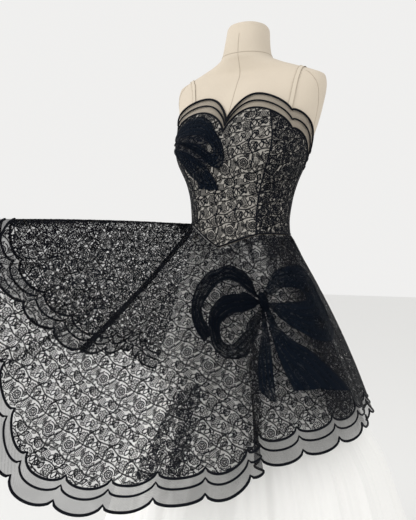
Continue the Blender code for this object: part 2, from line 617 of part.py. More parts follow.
def disc_ring(radius, z, sides):
    turns = [2 * math.pi * k / sides for k in range(sides)]
    return [Vector((radius * math.cos(a), radius * math.sin(a), z)) for a in turns]


def stand(finish):
    """Round base with a hub, and the pole that carries the form."""
    top = BASE_HEIGHT + HUB_HEIGHT
    profile = (
        (BASE_RADIUS, 0.0), (BASE_RADIUS, BASE_HEIGHT * 0.3), (BASE_RADIUS * 0.93, BASE_HEIGHT * 0.75),
        (HUB_RADIUS * 1.7, BASE_HEIGHT), (HUB_RADIUS, BASE_HEIGHT * 1.4), (HUB_RADIUS * 0.8, top),
    )
    closed_loft("stand_base", [disc_ring(r, z, BASE_SIDES) for r, z in profile], finish)
    ends = (top + STAND_GAP, FORM_BOTTOM_Z - STAND_GAP)
    closed_loft("stand_pole", [disc_ring(POLE_RADIUS, z, POLE_SIDES) for z in ends], finish)


def bisect(inside, low, high):
    """Largest value between low and high for which inside holds."""
    for _ in range(24):
        middle = (low + high) / 2
        if inside(middle):
            low = middle
        else:
            high = middle
    return low


def torso_at(x, z, side):
    """Point of the form's skin at a sideways place and height; side is -1 in front and 1 behind."""
    centre = interpolate(TORSO_SECTIONS, 4, z)
    reach = bisect(lambda d: outside_torso(Vector((x, centre + side * d, z))) < 0, 0.0, 0.2)
    return Vector((x, centre + side * reach, z))


def torso_azimuth(p):
    return math.degrees(math.atan2(p.x, interpolate(TORSO_SECTIONS, 4, p.z) - p.y))


def below_neckline(x, z, side):
    return z < neckline_z(torso_azimuth(torso_at(x, z, side)), "outer") + STRAP_END_GAP


def strap_place(x, share):
    """Azimuth and height on the form: share runs from -1 at the front neckline over the shoulder to 1."""
    side = -1 if share < 0 else 1
    top = bisect(lambda z: outside_torso(Vector((x, interpolate(TORSO_SECTIONS, 4, z), z))) < 0, 1.34, 1.45)
    start = bisect(lambda z: below_neckline(x, z, side), 1.15, 1.38)
    z = start + (top - start) * math.sin(math.pi / 2 * (1 - abs(share)))
    return torso_azimuth(torso_at(x, z, side)), z


def straps(skin, finish):
    for name, ends in STRAPS.items():
        rows = []
        for k in range(2 * STRAP_STEPS + 1):
            share = k / STRAP_STEPS - 1
            end = ends["front"] if share < 0 else ends["back"]
            middle = ends["top"] + (end - ends["top"]) * abs(share)
            rows.append([strap_place(middle + side * STRAP_WIDTH / 2, share) for side in (-1, 1)])
        skin.applique(name, rows, skin.outside, finish)


def curve_through(values, t):
    """Smooth open curve through evenly numbered values; t counts rows."""
    last = len(values) - 1
    k = min(int(t), last - 1)
    p1, p2 = values[k], values[k + 1]
    p0 = values[k - 1] if k else p1 * 2 - p2
    p3 = values[k + 2] if k + 2 <= last else p2 * 2 - p1
    return spline(p0, p1, p2, p3, t - k)


def periodic(values, t):
    """Smooth closed curve through evenly numbered values; t counts rows."""
    k = int(math.floor(t))
    return spline(*(values[(k + i) % len(values)] for i in (-1, 0, 1, 2)), t - k)


def spline(p0, p1, p2, p3, f):
    """Catmull-Rom curve from p1 to p2."""
    return 0.5 * (2 * p1 + (p2 - p0) * f + (2 * p0 - 5 * p1 + 4 * p2 - p3) * f * f
                  + (3 * p1 - p0 - 3 * p2 + p3) * f * f * f)


def smoothed(rows):
    """Rows of a ribbon with more rows between them, on smooth curves through the two edges."""
    first = [Vector(row[0]) for row in rows]
    second = [Vector(row[1]) for row in rows]
    steps = [k / RIBBON_ROW_STEPS for k in range(RIBBON_ROW_STEPS * (len(rows) - 1) + 1)]
    return [(curve_through(first, t), curve_through(second, t)) for t in steps]


def knot(name, place, face, finish):
    """Low dome over the place where the ribbons meet."""
    rings = []
    for scale, height in KNOT_LAYERS:
        ring = []
        for k in range(KNOT_SIDES):
            a = 2 * math.pi * k / KNOT_SIDES
            turn = place["turn"] + place["half_turn"] * scale * math.cos(a)
            drop = place["drop"] + place["half_drop"] * scale * math.sin(a)
            p, n = face(turn, drop)
            ring.append(p + n * (APPLIQUE_GAP + height))
        rings.append(ring)
    return closed_loft(name, rings, finish)


def bow(name, ribbons, place, cloth, finish):
    for piece, rows in ribbons.items():
        cloth.applique(f"{name}_{piece}", smoothed(rows), cloth.outside, finish)
    knot(f"{name}_knot", place, cloth.outside, finish)


def closed_normals(grid):
    """Directions out of a grid whose first and last columns meet, averaged over the facets round a point."""
    count = len(grid[0]) - 1
    facets = []
    for upper, lower in zip(grid, grid[1:]):
        quads = []
        for k in range(count):
            down = lower[k] + lower[k + 1] - upper[k] - upper[k + 1]
            around = upper[k + 1] + lower[k + 1] - upper[k] - lower[k]
            quads.append(down.cross(around).normalized())
        facets.append(quads)
    normals = []
    for r in range(len(grid)):
        near = [facets[i] for i in (r - 1, r) if 0 <= i < len(facets)]
        row = [sum((quads[k - 1] + quads[k] for quads in near), Vector((0, 0, 0))) for k in range(count)]
        row = [n.normalized() for n in row]
        normals.append(row + row[:1])
    return normals


class Overskirt:
    """The lace overskirt as a surface: s runs once round the hem, rho from waist to outer hem."""

    def __init__(self):
        lines = OVERSKIRT_LINES
        self.ends = [Vector((row["x"], row["y"], row["z"])) for row in lines]
        self.bows = [Vector(row["bow"]) for row in lines]
        self.waists = [row["waist"] for row in lines]
        steps = 40 * len(lines)
        self.rows_at = [k * len(lines) / steps for k in range(steps + 1)]
        hem = [periodic(self.ends, t) for t in self.rows_at]
        self.lengths = [0.0]
        for before, after in zip(hem, hem[1:]):
            self.lengths.append(self.lengths[-1] + (after - before).length)
        self.hem_length = self.lengths[-1]
        self.scallops = round(self.hem_length / SCALLOP_PITCH)

    def waist_azimuth(self, t):
        n = len(self.waists)
        turns, k = divmod(t, n)
        i = int(k)
        first, second = self.waists[i], self.waists[(i + 1) % n] + (360.0 if i == n - 1 else 0.0)
        return first + (second - first) * (k - i) + 360.0 * turns

    def row_of(self, s):
        """Row number on the table at a share s of the hem's length."""
        turns = math.floor(s)
        want = (s - turns) * self.hem_length
        k = min(max(bisect_left(self.lengths, want) - 1, 0), len(self.lengths) - 2)
        f = (want - self.lengths[k]) / (self.lengths[k + 1] - self.lengths[k])
        return self.rows_at[k] + (self.rows_at[k + 1] - self.rows_at[k]) * f + turns * len(self.ends)

    def turn_of(self, line):
        """Number of the scallop cusp nearest to a named line's end."""
        index = [row["line"] for row in OVERSKIRT_LINES].index(line)
        return round(self.lengths[40 * index] / self.hem_length * self.scallops)

    def waist_point(self, t):
        azimuth = self.waist_azimuth(t)
        return torso_point(azimuth, waist_seam_z(azimuth) - WAIST_DROP, OVERSKIRT_GAP + OVERSKIRT_WALL / 2)

    def point(self, s, rho):
        t = self.row_of(s)
        bow = periodic(self.bows, t) * (4 * rho * (1 - rho))
        return self.waist_point(t).lerp(periodic(self.ends, t), rho) + bow

    def length(self, s):
        t = self.row_of(s)
        return (periodic(self.ends, t) - self.waist_point(t)).length

    def edge(self, s, up):
        """Share of the way down of a scalloped edge that lies some way up from the hem."""
        phase = (s * self.scallops) % 1.0
        cusp = SCALLOP_DEPTH * (1 - max(0.0, 4 * phase * (1 - phase)) ** SCALLOP_POWER)
        return 1 - (up + cusp) / self.length(s)

    def cloth(self, rows, rises):
        """Cloth whose rows are functions from s to rho; its columns count scallops, its levels metres."""
        first = self.turn_of(SEAM_LINES["right"]) - self.scallops
        count = self.scallops * SCALLOP_COLUMNS
        columns = [first + k / SCALLOP_COLUMNS for k in range(count + 1)]
        places = [turn / self.scallops for turn in columns]
        shares = [[row(s) for s in places] for row in rows]
        levels = [[rho * self.length(s) for s, rho in zip(places, row)] for row in shares]
        middle = [[self.point(s, rho) for s, rho in zip(places, row)] for row in shares]
        normals = closed_normals(middle)
        half = OVERSKIRT_WALL / 2
        outer = [
            [p + n * (half + rise) for p, n in zip(row, out)] for row, out, rise in zip(middle, normals, rises)
        ]
        inner = [[p - n * half for p, n in zip(row, out)] for row, out in zip(middle, normals)]
        return Cloth(columns, levels, outer, inner)


def overskirt(lace, net):
    """Three lace panels, each with a net border along its hem, and the strip inside the right seam."""
    skirt = Overskirt()
    lace_edge = BORDER_INNER + BORDER_OUTER
    rows = [lambda s, rho=rho: rho for rho in OVERSKIRT_ROWS] + [lambda s: skirt.edge(s, lace_edge)]
    cloth = skirt.cloth(rows, [0.0] * len(rows))
    border_rows = [
        lambda s: skirt.edge(s, lace_edge - BORDER_SEAM_GAP), lambda s: skirt.edge(s, BORDER_OUTER),
        lambda s: skirt.edge(s, 0.0),
    ]
    border = skirt.cloth(border_rows, [0.0, CORD_RISE, CORD_RISE])
    right, left, back = (skirt.turn_of(SEAM_LINES[word]) for word in ("right", "left", "back"))
    panels = {"front": (right - skirt.scallops, left), "back_left": (left, back), "back_right": (back, right)}
    for word, (start, end) in panels.items():
        cloth.panel(f"overskirt_{word}", start, end, SEAM_GAP, lace)
        border.panel(f"hem_border_{word}", start, end, SEAM_GAP, net)
    rows = [((right - SEAM_STRIP_TURNS, drop), (right + SEAM_STRIP_TURNS, drop)) for drop in SEAM_STRIP_ENDS]
    cloth.applique("overskirt_seam_strip", rows, cloth.inside, net)
    bow("skirt_bow", SKIRT_BOW, SKIRT_KNOT, cloth, net)


def underskirt_point(azimuth, z, off):
    """Point of the gathered underskirt; its folds open towards the hem."""
    width, depth, centre = (interpolate(UNDERSKIRT_SECTIONS, key, z) for key in (1, 2, 3))
    a = math.radians(azimuth)
    side, ahead = math.sin(a), math.cos(a)
    radius = 1 / math.sqrt((side / width) ** 2 + (ahead / depth) ** 2)
    opened = min(max((1.0 - z) / 0.9, 0.0), 1.0)
    unevenness = 0.75 + 0.25 * math.sin(3 * a + 1.0)
    radius += UNDERSKIRT_FOLD_DEPTH * unevenness * opened ** 1.3 * math.cos(UNDERSKIRT_FOLDS * a) + off
    return Vector((radius * side, centre - radius * ahead, z))


def underskirt(finish):
    """Front and back of the full underskirt, joined at the sides."""
    count = UNDERSKIRT_FOLDS * UNDERSKIRT_FOLD_COLUMNS
    columns = [-90.0 + 360.0 * k / count for k in range(count + 1)]
    tops = [waist_seam_z(a) - UNDERSKIRT_DROP for a in columns]
    levels = [tops] + [[z] * len(columns) for z in UNDERSKIRT_LEVELS]
    outer = [[torso_point(a, z, UNDERSKIRT_TOP_GAP + UNDERSKIRT_TOP_WALL) for a, z in zip(columns, tops)]]
    inner = [[torso_point(a, z, UNDERSKIRT_TOP_GAP) for a, z in zip(columns, tops)]]
    for z in UNDERSKIRT_LEVELS:
        outer.append([underskirt_point(a, z, UNDERSKIRT_WALL) for a in columns])
        inner.append([underskirt_point(a, z, 0.0) for a in columns])
    cloth = Cloth(columns, levels, outer, inner)
    cloth.panel("underskirt_front", -90.0, 90.0, SEAM_GAP, finish)
    cloth.panel("underskirt_back", 90.0, 270.0, SEAM_GAP, finish)


def main():
    for old in list(bpy.data.objects):
        bpy.data.objects.remove(old)
    linen = material("form_linen", (0.78, 0.70, 0.58), 0.85)
    iron = material("stand_iron", (0.05, 0.05, 0.055), 0.45, 0.8)
    lace = material("black_lace", (0.02, 0.02, 0.03), 0.8)
    net = material("black_net", (0.25, 0.25, 0.25), 0.8)
    satin = material("ivory_satin", (0.80, 0.76, 0.66), 0.5)
    tulle = material("white_tulle", (0.86, 0.86, 0.84), 0.8)
    skin = form_body(linen)
    stand(iron)
    bodice(lace, net)
    straps(skin, satin)
    overskirt(lace, net)
    underskirt(tulle)


main()
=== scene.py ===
"""Looks of the lace ball gown on its dress form, in metres, +Z up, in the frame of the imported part.

The form faces -Y and its foot stands on the origin. Azimuths are degrees round the form from the
front towards the wearer's left. On the overskirt a turn is one scallop round the hem from the held
corner, and a drop is metres down from the waist.
"""

import math

import bpy
import numpy as np
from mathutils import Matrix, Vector

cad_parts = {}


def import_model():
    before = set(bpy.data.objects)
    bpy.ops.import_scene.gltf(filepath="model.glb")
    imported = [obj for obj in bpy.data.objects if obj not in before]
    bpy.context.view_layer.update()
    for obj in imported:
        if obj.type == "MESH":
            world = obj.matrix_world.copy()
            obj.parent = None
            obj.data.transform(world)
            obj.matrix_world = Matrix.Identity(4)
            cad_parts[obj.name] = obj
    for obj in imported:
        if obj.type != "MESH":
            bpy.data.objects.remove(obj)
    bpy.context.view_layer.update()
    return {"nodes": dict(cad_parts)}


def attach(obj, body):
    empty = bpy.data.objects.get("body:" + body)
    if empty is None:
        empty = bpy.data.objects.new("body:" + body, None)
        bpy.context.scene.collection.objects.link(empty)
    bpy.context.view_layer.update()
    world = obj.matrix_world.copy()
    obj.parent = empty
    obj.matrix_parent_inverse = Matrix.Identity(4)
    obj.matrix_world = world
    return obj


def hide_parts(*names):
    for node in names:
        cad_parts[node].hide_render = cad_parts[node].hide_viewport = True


FORM_BOTTOM_Z = 0.800
FORM_TOP_Z = 1.534
WAIST_Z = 1.045
BUST_Z = 1.232

# Places of the cloth's outer faces outside the form's skin
BODICE_FACE = 0.0033
BORDER_FACE = 0.0032
OVERSKIRT_GAP = 0.0024
OVERSKIRT_WALL = 0.0012
WAIST_DROP = 0.0010
UNDERSKIRT_WALL = 0.0015

# Dress form, in mm: height, half width, depth to the front, depth to the back, centre along Y
TORSO_SECTIONS = [
    (800, 150, 108, 112, 0), (840, 156, 112, 117, 0), (880, 154, 110, 116, -2), (920, 147, 105, 110, -6),
    (960, 133, 99, 101, -12), (1010, 116.5, 90, 90, -21), (1070, 110.5, 82, 82, -26),
    (1120, 115, 87, 88, -21), (1160, 124.5, 94, 94, -15), (1210, 144, 103, 100, -7),
    (1250, 155, 105, 102, 2), (1300, 169, 99, 100, 14), (1345, 180, 85, 90, 22), (1380, 186, 70, 75, 26),
    (1400, 183, 58, 66, 27), (1412, 160, 52, 60, 25), (1424, 125, 49, 56, 20), (1437, 87, 48, 53, 15),
    (1450, 62, 50, 52, 12), (1470, 55, 50, 50, 13), (1500, 51, 48, 48, 17), (1520, 49, 46, 46, 20),
    (1530, 42, 40, 40, 20), (1534, 25, 24, 24, 20),
]
SECTION_ROUNDNESS = 2.15
CUP_AZIMUTH = 38.0
CUP_RISE = 0.030
CUP_SPREAD_DEG = 21.0
CUP_SPREAD_Z = 0.046
MIDDLE_SEAM_TOP_Z = 1.50
NECK_SEAM_Z = 1.455
# Side seams of the form: from and to which height, azimuth of each, and how far its middle swings
SIDE_SEAM_Z = (1.10, 1.405)
SIDE_SEAMS = ((78, 10), (116, -12))

# Waist seam: a shallow point in front, drawn a little to the wearer's right by the held skirt
WAIST_POINT_AZIMUTH = -7.0
WAIST_POINT_DROP = 0.032
WAIST_POINT_REACH = 57.0
WAIST_PULL_AZIMUTH = -70.0
WAIST_PULL_RISE = 0.026
WAIST_PULL_REACH = 32.0

# Neckline scallops from the front to the back: where each ends on the two sides, the heights of
# the lace, middle and outer edges there, how far each edge rises between, and its curve's exponent
NECK_START = {"lace": 1.260, "middle": 1.275, "outer": 1.287}
NECK_SCALLOPS = [
    dict(left=63.0, right=76.0, lace=1.263, middle=1.284, outer=1.306, rise=0.052, power=0.72),
    dict(left=98.0, right=107.0, lace=1.190, middle=1.208, outer=1.226, rise=0.020, power=0.60),
    dict(left=139.0, right=143.0, lace=1.186, middle=1.204, outer=1.222, rise=0.014, power=0.60),
    dict(left=180.0, right=180.0, lace=1.184, middle=1.202, outer=1.220, rise=0.014, power=0.60),
]
BODICE_PANELS = {
    "bodice_front": (-46.0, 46.0), "bodice_side_left": (46.0, 92.0), "bodice_side_right": (-92.0, -46.0),
    "bodice_back_left": (92.0, 180.0), "bodice_back_right": (-180.0, -92.0),
}

# Overskirt: azimuth at the waist, and in mm the end at the hem and how far the line's middle
# stands off
OVERSKIRT_LINES = [
    (-77, (-210, -561, 1060), (0, 0, 4)), (-72, (-232, -572, 908), (0, 0, 0)),
    (-67, (-230, -548, 766), (0, 0, 0)), (-60, (-220, -511, 625), (0, 0, 0)),
    (-54, (-190, -480, 574), (0, 0, 0)), (-44, (-104, -446, 554), (0, -4, 0)),
    (-34, (-34, -424, 564), (0, -6, 0)), (-22, (56, -393, 580), (0, -8, 0)),
    (-12, (113, -355, 581), (2, -10, 0)), (-3, (147, -307, 593), (4, -12, 0)),
    (4, (162, -267, 611), (6, -12, 0)), (9, (131, -242, 606), (22, -16, 2)),
    (14, (169, -230, 611), (6, -12, 0)), (24, (207, -179, 614), (6, -10, 0)),
    (42, (248, -127, 623), (8, -6, 0)), (62, (269, -78, 626), (8, -3, 0)),
    (83, (281, -12, 633), (8, 0, 0)), (98, (257, 122, 620), (9, 3, 0)), (113, (244, 224, 615), (8, 6, 0)),
    (130, (185, 287, 607), (6, 8, 0)), (146, (108, 290, 603), (3, 9, 0)),
    (162, (45, 344, 600), (2, 10, 0)), (180, (-30, 315, 600), (0, 10, 0)),
    (197, (-107, 339, 602), (-2, 10, 0)), (212, (-168, 268, 608), (-4, 9, 0)),
    (226, (-250, 251, 624), (-6, 9, 0)), (240, (-272, 150, 660), (-12, 12, 0)),
    (252, (-322, 50, 716), (-20, 20, 0)), (262, (-276, -63, 767), (-30, 30, -10)),
    (269, (-238, -199, 786), (-30, 35, -15)), (274, (-216, -322, 808), (-20, 30, -10)),
    (277, (-224, -380, 845), (-16, 22, -6)), (279, (-229, -449, 897), (-12, 14, -4)),
    (281, (-233, -517, 973), (-6, 6, 0)),
]
BORDER_INNER = 0.018
BORDER_OUTER = 0.027
SCALLOPS = 34
SCALLOP_DEPTH = 0.017
SCALLOP_POWER = 0.60
# Steps between two lines when the hem is measured, and steps in a turn when a panel is unrolled
HEM_STEPS = 40
PLAN_STEPS = 4
OVERSKIRT_PANELS = {"front": (-4.0, 14.0), "back_left": (14.0, 20.0), "back_right": (20.0, 30.0)}

# Soft creases of the overskirt: turn at the waist, turn at the hem, drop where it starts and ends,
# half width in turns at the hem, and how far it stands out
CREASES = [
    (0.9, 1.2, 0.20, 0.62, 0.22, -0.0045), (2.3, 2.1, 0.12, 0.50, 0.20, 0.0040),
    (3.6, 3.1, 0.26, 0.66, 0.26, -0.0060), (4.7, 4.4, 0.05, 0.42, 0.30, 0.0035),
    (5.6, 5.2, 0.18, 0.66, 0.22, -0.0050), (6.4, 6.5, 0.10, 0.60, 0.32, 0.0050),
    (7.2, 7.6, 0.24, 0.60, 0.20, -0.0045), (8.1, 8.5, 0.08, 0.36, 0.26, 0.0030),
    (9.2, 9.4, 0.22, 0.52, 0.24, -0.0035), (11.6, 11.8, 0.28, 0.50, 0.24, 0.0040),
    (12.7, 13.2, 0.30, 0.48, 0.22, -0.0040), (14.6, 14.8, 0.10, 0.44, 0.28, 0.0050),
    (15.7, 15.4, 0.16, 0.48, 0.24, -0.0050), (16.6, 16.9, 0.06, 0.36, 0.30, 0.0045),
    (17.8, 17.7, 0.20, 0.50, 0.22, -0.0055), (18.9, 19.1, 0.12, 0.46, 0.28, 0.0050),
    (20.3, 20.1, 0.08, 0.40, 0.24, -0.0040), (21.4, 21.7, 0.18, 0.48, 0.26, 0.0055),
    (22.7, 22.6, 0.10, 0.34, 0.22, -0.0045), (24.1, 24.2, 0.14, 0.46, 0.30, 0.0040),
    (25.2, 25.0, 0.22, 0.44, 0.22, -0.0040), (26.8, 26.6, 0.10, 0.36, 0.26, 0.0035),
    (28.1, 28.0, 0.12, 0.34, 0.22, -0.0030),
]
# Where the overskirt is crowded: from turn, to turn, and how much is added to the net's cover
CROWDED = [(12.8, 17.4, 0.75), (17.0, 26.0, 0.2), (26.0, 29.9, -0.5)]
CROWD_RAMP = 0.8
# Added cover of the gathers at the waist: how much, and how far down it fades
GATHER_COVER = ((0.6, 0.05), (0.15, 0.20))
# Added cover where the skirt is held: how much, how wide in turns squared, and how far down it fades
HELD_COVER, HELD_SPREAD, HELD_REACH = 2.6, 7.0, 0.024
# Added cover of a crease for each metre that it stands out, and lengths over which folds begin and end
CREASE_COVER = 60.0
CREASE_FADE = 0.08
CREASE_TAIL = 0.10
FOLD_FADE = 0.05
SECOND_LAYER_FROM = 1.5
SECOND_LAYER_RAGGED = 0.24
# Deep folds: turn at the waist and at the hem if drawn on so far, drop where it starts, half width
# in turns, and added cover
FOLD_LINES = [
    (0.0, 0.0, 0.0, 0.09, 3.0), (9.2, 8.15, 0.30, 0.30, 0.8), (9.77, 7.27, 0.34, 0.08, 1.0),
    (12.1, 10.2, 0.22, 0.34, 0.75), (11.9, 10.85, 0.16, 0.07, 1.5), (15.0, 14.6, 0.24, 0.07, 1.4),
    (14.2, 13.2, 0.02, 0.20, 0.5),
]
GATHER_DEPTH = 0.0022
GATHER_REACH = 0.060
GATHER_START = 0.012

# Underskirt, in mm: height, half width, half depth, centre along Y
UNDERSKIRT_SECTIONS = [
    (1045, 112.5, 85, -24), (1010, 120, 95, -21), (960, 139.5, 112, -12), (900, 160, 135, -2),
    (800, 195, 178, 14), (700, 228, 218, 30), (620, 250, 245, 42), (540, 292, 290, 48),
    (400, 340, 338, 54), (200, 410, 410, 60), (12, 475, 475, 64),
]
UNDERSKIRT_FOLDS = 20
UNDERSKIRT_FOLD_DEPTH = 0.017
# Fine ripples: how many round the skirt, how deep, and how much they wander
UNDERSKIRT_RIPPLES = ((47, 0.0042, 2.0), (83, 0.0026, 3.0))
UNDERSKIRT_HEM_Z = 0.012

# Knots: place of the middle and half size. The skirt's bow is placed by turn and drop, the bodice's
# by azimuth and height
SKIRT_KNOT = ((12.16, 0.141), (0.17, 0.022))
# Ribbons: places of pairs of points on their two edges, as turn and drop or azimuth and height,
# with drops and heights in mm
SKIRT_BOW = {
    "upper_loop": [
        (11.98, 118, 11.96, 128), (11.9, 84, 11.6, 112), (11.33, 61, 11.05, 91), (10.16, 48, 10.05, 81),
        (8.95, 70, 9.39, 94), (8.27, 109, 8.85, 133), (8.05, 148, 8.62, 161), (8.17, 183, 8.72, 180),
        (8.44, 210, 8.94, 193), (8.86, 232, 9.12, 207),
    ],
    "lower_loop": [
        (11.96, 134, 11.94, 143), (11.47, 115, 11.45, 152), (10.4, 114, 10.56, 153),
        (9.65, 120, 9.88, 164), (9.16, 148, 9.55, 177), (8.99, 176, 9.48, 195), (9.04, 206, 9.53, 211),
        (9.2, 235, 9.67, 219), (9.6, 249, 9.86, 222), (10.15, 250, 10.08, 218), (10.7, 240, 10.52, 200),
        (11.12, 228, 11.05, 186), (11.45, 212, 11.4, 172), (11.9, 168, 11.88, 156),
    ],
    "left_side_loop": [
        (12.32, 120, 12.34, 128), (12.76, 91, 12.6, 128), (13.25, 76, 12.95, 121), (14, 74, 13.3, 122),
        (14.8, 98, 13.52, 130), (15.1, 150, 13.58, 140), (14.9, 208, 13.54, 150), (14.25, 242, 13.4, 153),
        (13.55, 243, 13.15, 154), (12.95, 218, 12.85, 153), (12.53, 183, 12.6, 150),
        (12.34, 156, 12.37, 146),
    ],
    "wide_tail": [
        (12.13, 163, 12.28, 163), (12.11, 190, 12.36, 198), (12.08, 228, 12.66, 232),
        (12.12, 280, 13.25, 278), (12.22, 327, 13.98, 356),
    ],
    "narrow_tail": [
        (11.98, 163, 12.07, 163), (11.78, 200, 12, 205), (11.45, 243, 11.9, 243),
        (11.27, 289, 11.76, 289), (11.26, 312, 11.69, 315), (11.5, 335, 11.64, 342),
    ],
}
# Flat width, number of pleats, cover near the knot and far from it, finish and thin places
SKIRT_RIBBONS = {
    "upper_loop": (0.045, 3.5, (1.08, 1.12), "bow_loop_net", [(0.44, 0.55, 0.04, 0.20, 0.15)]),
    "lower_loop": (0.060, 3.5, (1.15, 0.80), "bow_loop_net"),
    "left_side_loop": (0.090, 5.0, (0.90, 1.00), "bow_net", [
        (0.64, 0.46, 0.022, 0.13, 0.85), (0.40, 0.80, 0.05, 0.12, 0.45), (0.55, 0.2, 0.03, 0.1, 0.2),
    ]),
    "wide_tail": (0.10, 5.0, (0.96, 1.10)),
    "narrow_tail": (0.040, 3.5, (0.92, 1.02)),
}
BODICE_KNOT = ((-75.0, 1.250), (4.0, 0.012))
BODICE_BOW = {
    "front_loop": [
        (-70, 1264, -70, 1260), (-62, 1272, -58, 1260), (-52.5, 1292.5, -44, 1257),
        (-43, 1302, -34, 1257), (-30, 1301.5, -27, 1257.5), (-17, 1284.5, -20, 1252.5),
        (-8, 1261, -13.5, 1239), (0, 1240.5, -9, 1226.5), (5, 1214, -8, 1221), (3, 1192.5, -9.5, 1216.5),
        (-4, 1185.5, -13, 1218.5), (-12, 1191, -19, 1230), (-19, 1208, -26, 1238.5),
        (-30, 1228, -35, 1242.5), (-45, 1242, -48, 1249), (-68, 1249, -68, 1253),
    ],
    "front_tail": [
        (-69, 1239, -67, 1245), (-54, 1224, -50, 1236), (-44, 1205, -36, 1224.5),
        (-41.5, 1190, -26, 1210), (-39, 1177, -20, 1196), (-35, 1165, -14.5, 1178), (-33, 1155, -9, 1158),
        (-35, 1144, -5.5, 1138),
    ],
    "back_loop": [
        (-80, 1248, -80, 1243), (-88, 1232, -87, 1222), (-97, 1205, -95, 1198), (-106, 1182, -102, 1176),
        (-116, 1172, -108, 1163), (-124, 1160, -112, 1155), (-127, 1142, -112, 1149),
        (-121, 1128, -109, 1147), (-110, 1128, -104, 1153), (-99, 1150, -97, 1170),
        (-90, 1185, -90, 1200), (-81, 1231, -82, 1236),
    ],
}
BODICE_SECOND_LAYER = {
    "loop": [
        (-66, 1262, -66, 1250), (-50, 1268, -50, 1244), (-36, 1264, -36, 1240), (-24, 1258, -25, 1235),
        (-13, 1247, -15, 1226),
    ],
    "gap": [
        (-66, 1249, -66, 1243), (-50, 1243, -50, 1229), (-37, 1240, -37, 1214), (-25, 1230, -26, 1198),
        (-14, 1212, -16, 1184),
    ],
}
# Places sideways of the straps: at the front neckline, on the shoulder and at the back neckline
STRAPS = {"strap_left": (0.130, 0.139, 0.118), "strap_right": (-0.105, -0.147, -0.118)}
STRAP_WIDTH = 0.008
SEAM_STRIP_WIDTH = 0.024
# How far the lace of a panel laps over its seam, in turns
SEAM_LAP = 0.04

# Cords and seams: how far they lie off their surface, their radius, and how flat they are
CORD_LIFT = 0.0004
CORD_FLATNESS = 0.8
NECK_CORD_RADII = (0.0025, 0.0021, 0.0027)
HEM_CORDS = ((BORDER_INNER + BORDER_OUTER, 0.0024), (BORDER_OUTER, 0.0021), (0.0, 0.0026))
FORM_SEAM = {"off": 0.0001, "radius": 0.0008, "flatness": 0.5, "sides": 5}
NECK_SEAM = {"off": 0.0001, "radius": 0.0009, "flatness": 0.6, "sides": 5}
BODICE_SEAM = {"off": BODICE_FACE + 0.0003, "radius": 0.0017, "flatness": 0.6}
WAIST_SEAM = {"off": BODICE_FACE + 0.0006, "radius": 0.0017, "flatness": 0.7}
OVERSKIRT_SEAM = {"off": 0.0006, "radius": 0.0011, "flatness": 0.6, "sides": 5}

# Azimuths of the two underskirt panels, and their length as cut: how much longer than its area over its
# width a piece is cut
UNDERSKIRT_PANELS = {"underskirt_front": (-90.0, 90.0, 1.07), "underskirt_back": (90.0, 270.0, 1.15)}

# Woven cloths: color, color of the gaps, threads a metre, roughness, height of the weave, sheen, and
# how much darker its patches are
WEAVES = {
    "form_linen": ((0.65, 0.57, 0.465), (0.50, 0.43, 0.34), 420.0, 0.9, 0.25, 0.10, 0.06),
    # The seam colour also draws the painted shadow lines along both edges of each strap.
    "seam_and_painted_shadow": ((0.50, 0.43, 0.34), (0.38, 0.32, 0.25), 420.0, 0.9, 0.3, 0.1, 0.06),
    "taupe_ground": ((0.37, 0.35, 0.315), (0.25, 0.23, 0.205), 520.0, 0.6, 0.3, 0.15, 0.06),
    "ivory_satin": ((0.64, 0.565, 0.46), (0.54, 0.47, 0.37), 700.0, 0.4, 0.1, 0.05, 0.06),
    "white_tulle": ((0.94, 0.935, 0.915), (0.885, 0.88, 0.855), 380.0, 0.9, 0.12, 0.3, 0.02),
}
# Nets: color, cover between the threads and on them, threads a metre, sheen, and if it is crowded
NETS = {
    "lace_dense": ((0.012, 0.012, 0.013), 0.36, 0.58, 900.0, 0.01, False),
    "lace_sheer": ((0.012, 0.012, 0.013), 0.16, 0.34, 900.0, 0.01, False),
    "skirt_net": ((0.020, 0.017, 0.014), 0.12, 0.29, 620.0, 0.01, True),
    "border_net": ((0.026, 0.026, 0.028), 0.42, 0.62, 560.0, 0.01, False),
    "neck_net": ((0.034, 0.031, 0.029), 0.21, 0.38, 560.0, 0.01, False),
    "bow_net": ((0.0028, 0.0052, 0.0100), 0.85, 0.975, 620.0, 0.02, True),
    "bow_loop_net": ((0.0015, 0.0028, 0.0056), 0.86, 0.985, 620.0, 0.01, True),
    "bow_second_net": ((0.004, 0.006, 0.011), 0.58, 0.76, 620.0, 0.02, True),
}
# Numbers of the sockets of a node that mixes two colors
MIX_FACTOR, MIX_FIRST, MIX_SECOND, MIX_RESULT = 0, 6, 7, 2

# Camera of the photograph: place, focal length in pixels, and its axis in the 416 by 520 picture
CAMERA_AZIMUTH = 25.0
CAMERA_DISTANCE = 1.40
CAMERA_Z = 1.01
FOCAL_PIXELS = 607.0
AXIS_PIXEL = (245.0, 250.0)
PICTURE = (416.0, 520.0)
SENSOR_WIDTH = 36.0

# Lights: place, size and power
LIGHTS = {"key_light": ((-2.2, -3.0, 2.8), 2.4, 68.0), "fill_light": ((2.8, -2.2, 2.0), 2.6, 16.0)}
LIGHTS_AIM = (0, 0, 0.9)
FLOOR_HALF = 12.0

# Lace: steps from one repeat to the next in metres, kinds of stroke, and the turn of each panel's lace
LACE_ACROSS = (0.048, 0.0)
LACE_UP = (0.020, 0.130)
LACE_MARGIN = 0.12
LINE, DENSE, SHEER = 0, 1, 2
LACE_TURN = {"overskirt_front": 78.0, "overskirt_back_left": -20.0, "overskirt_back_right": 30.0}
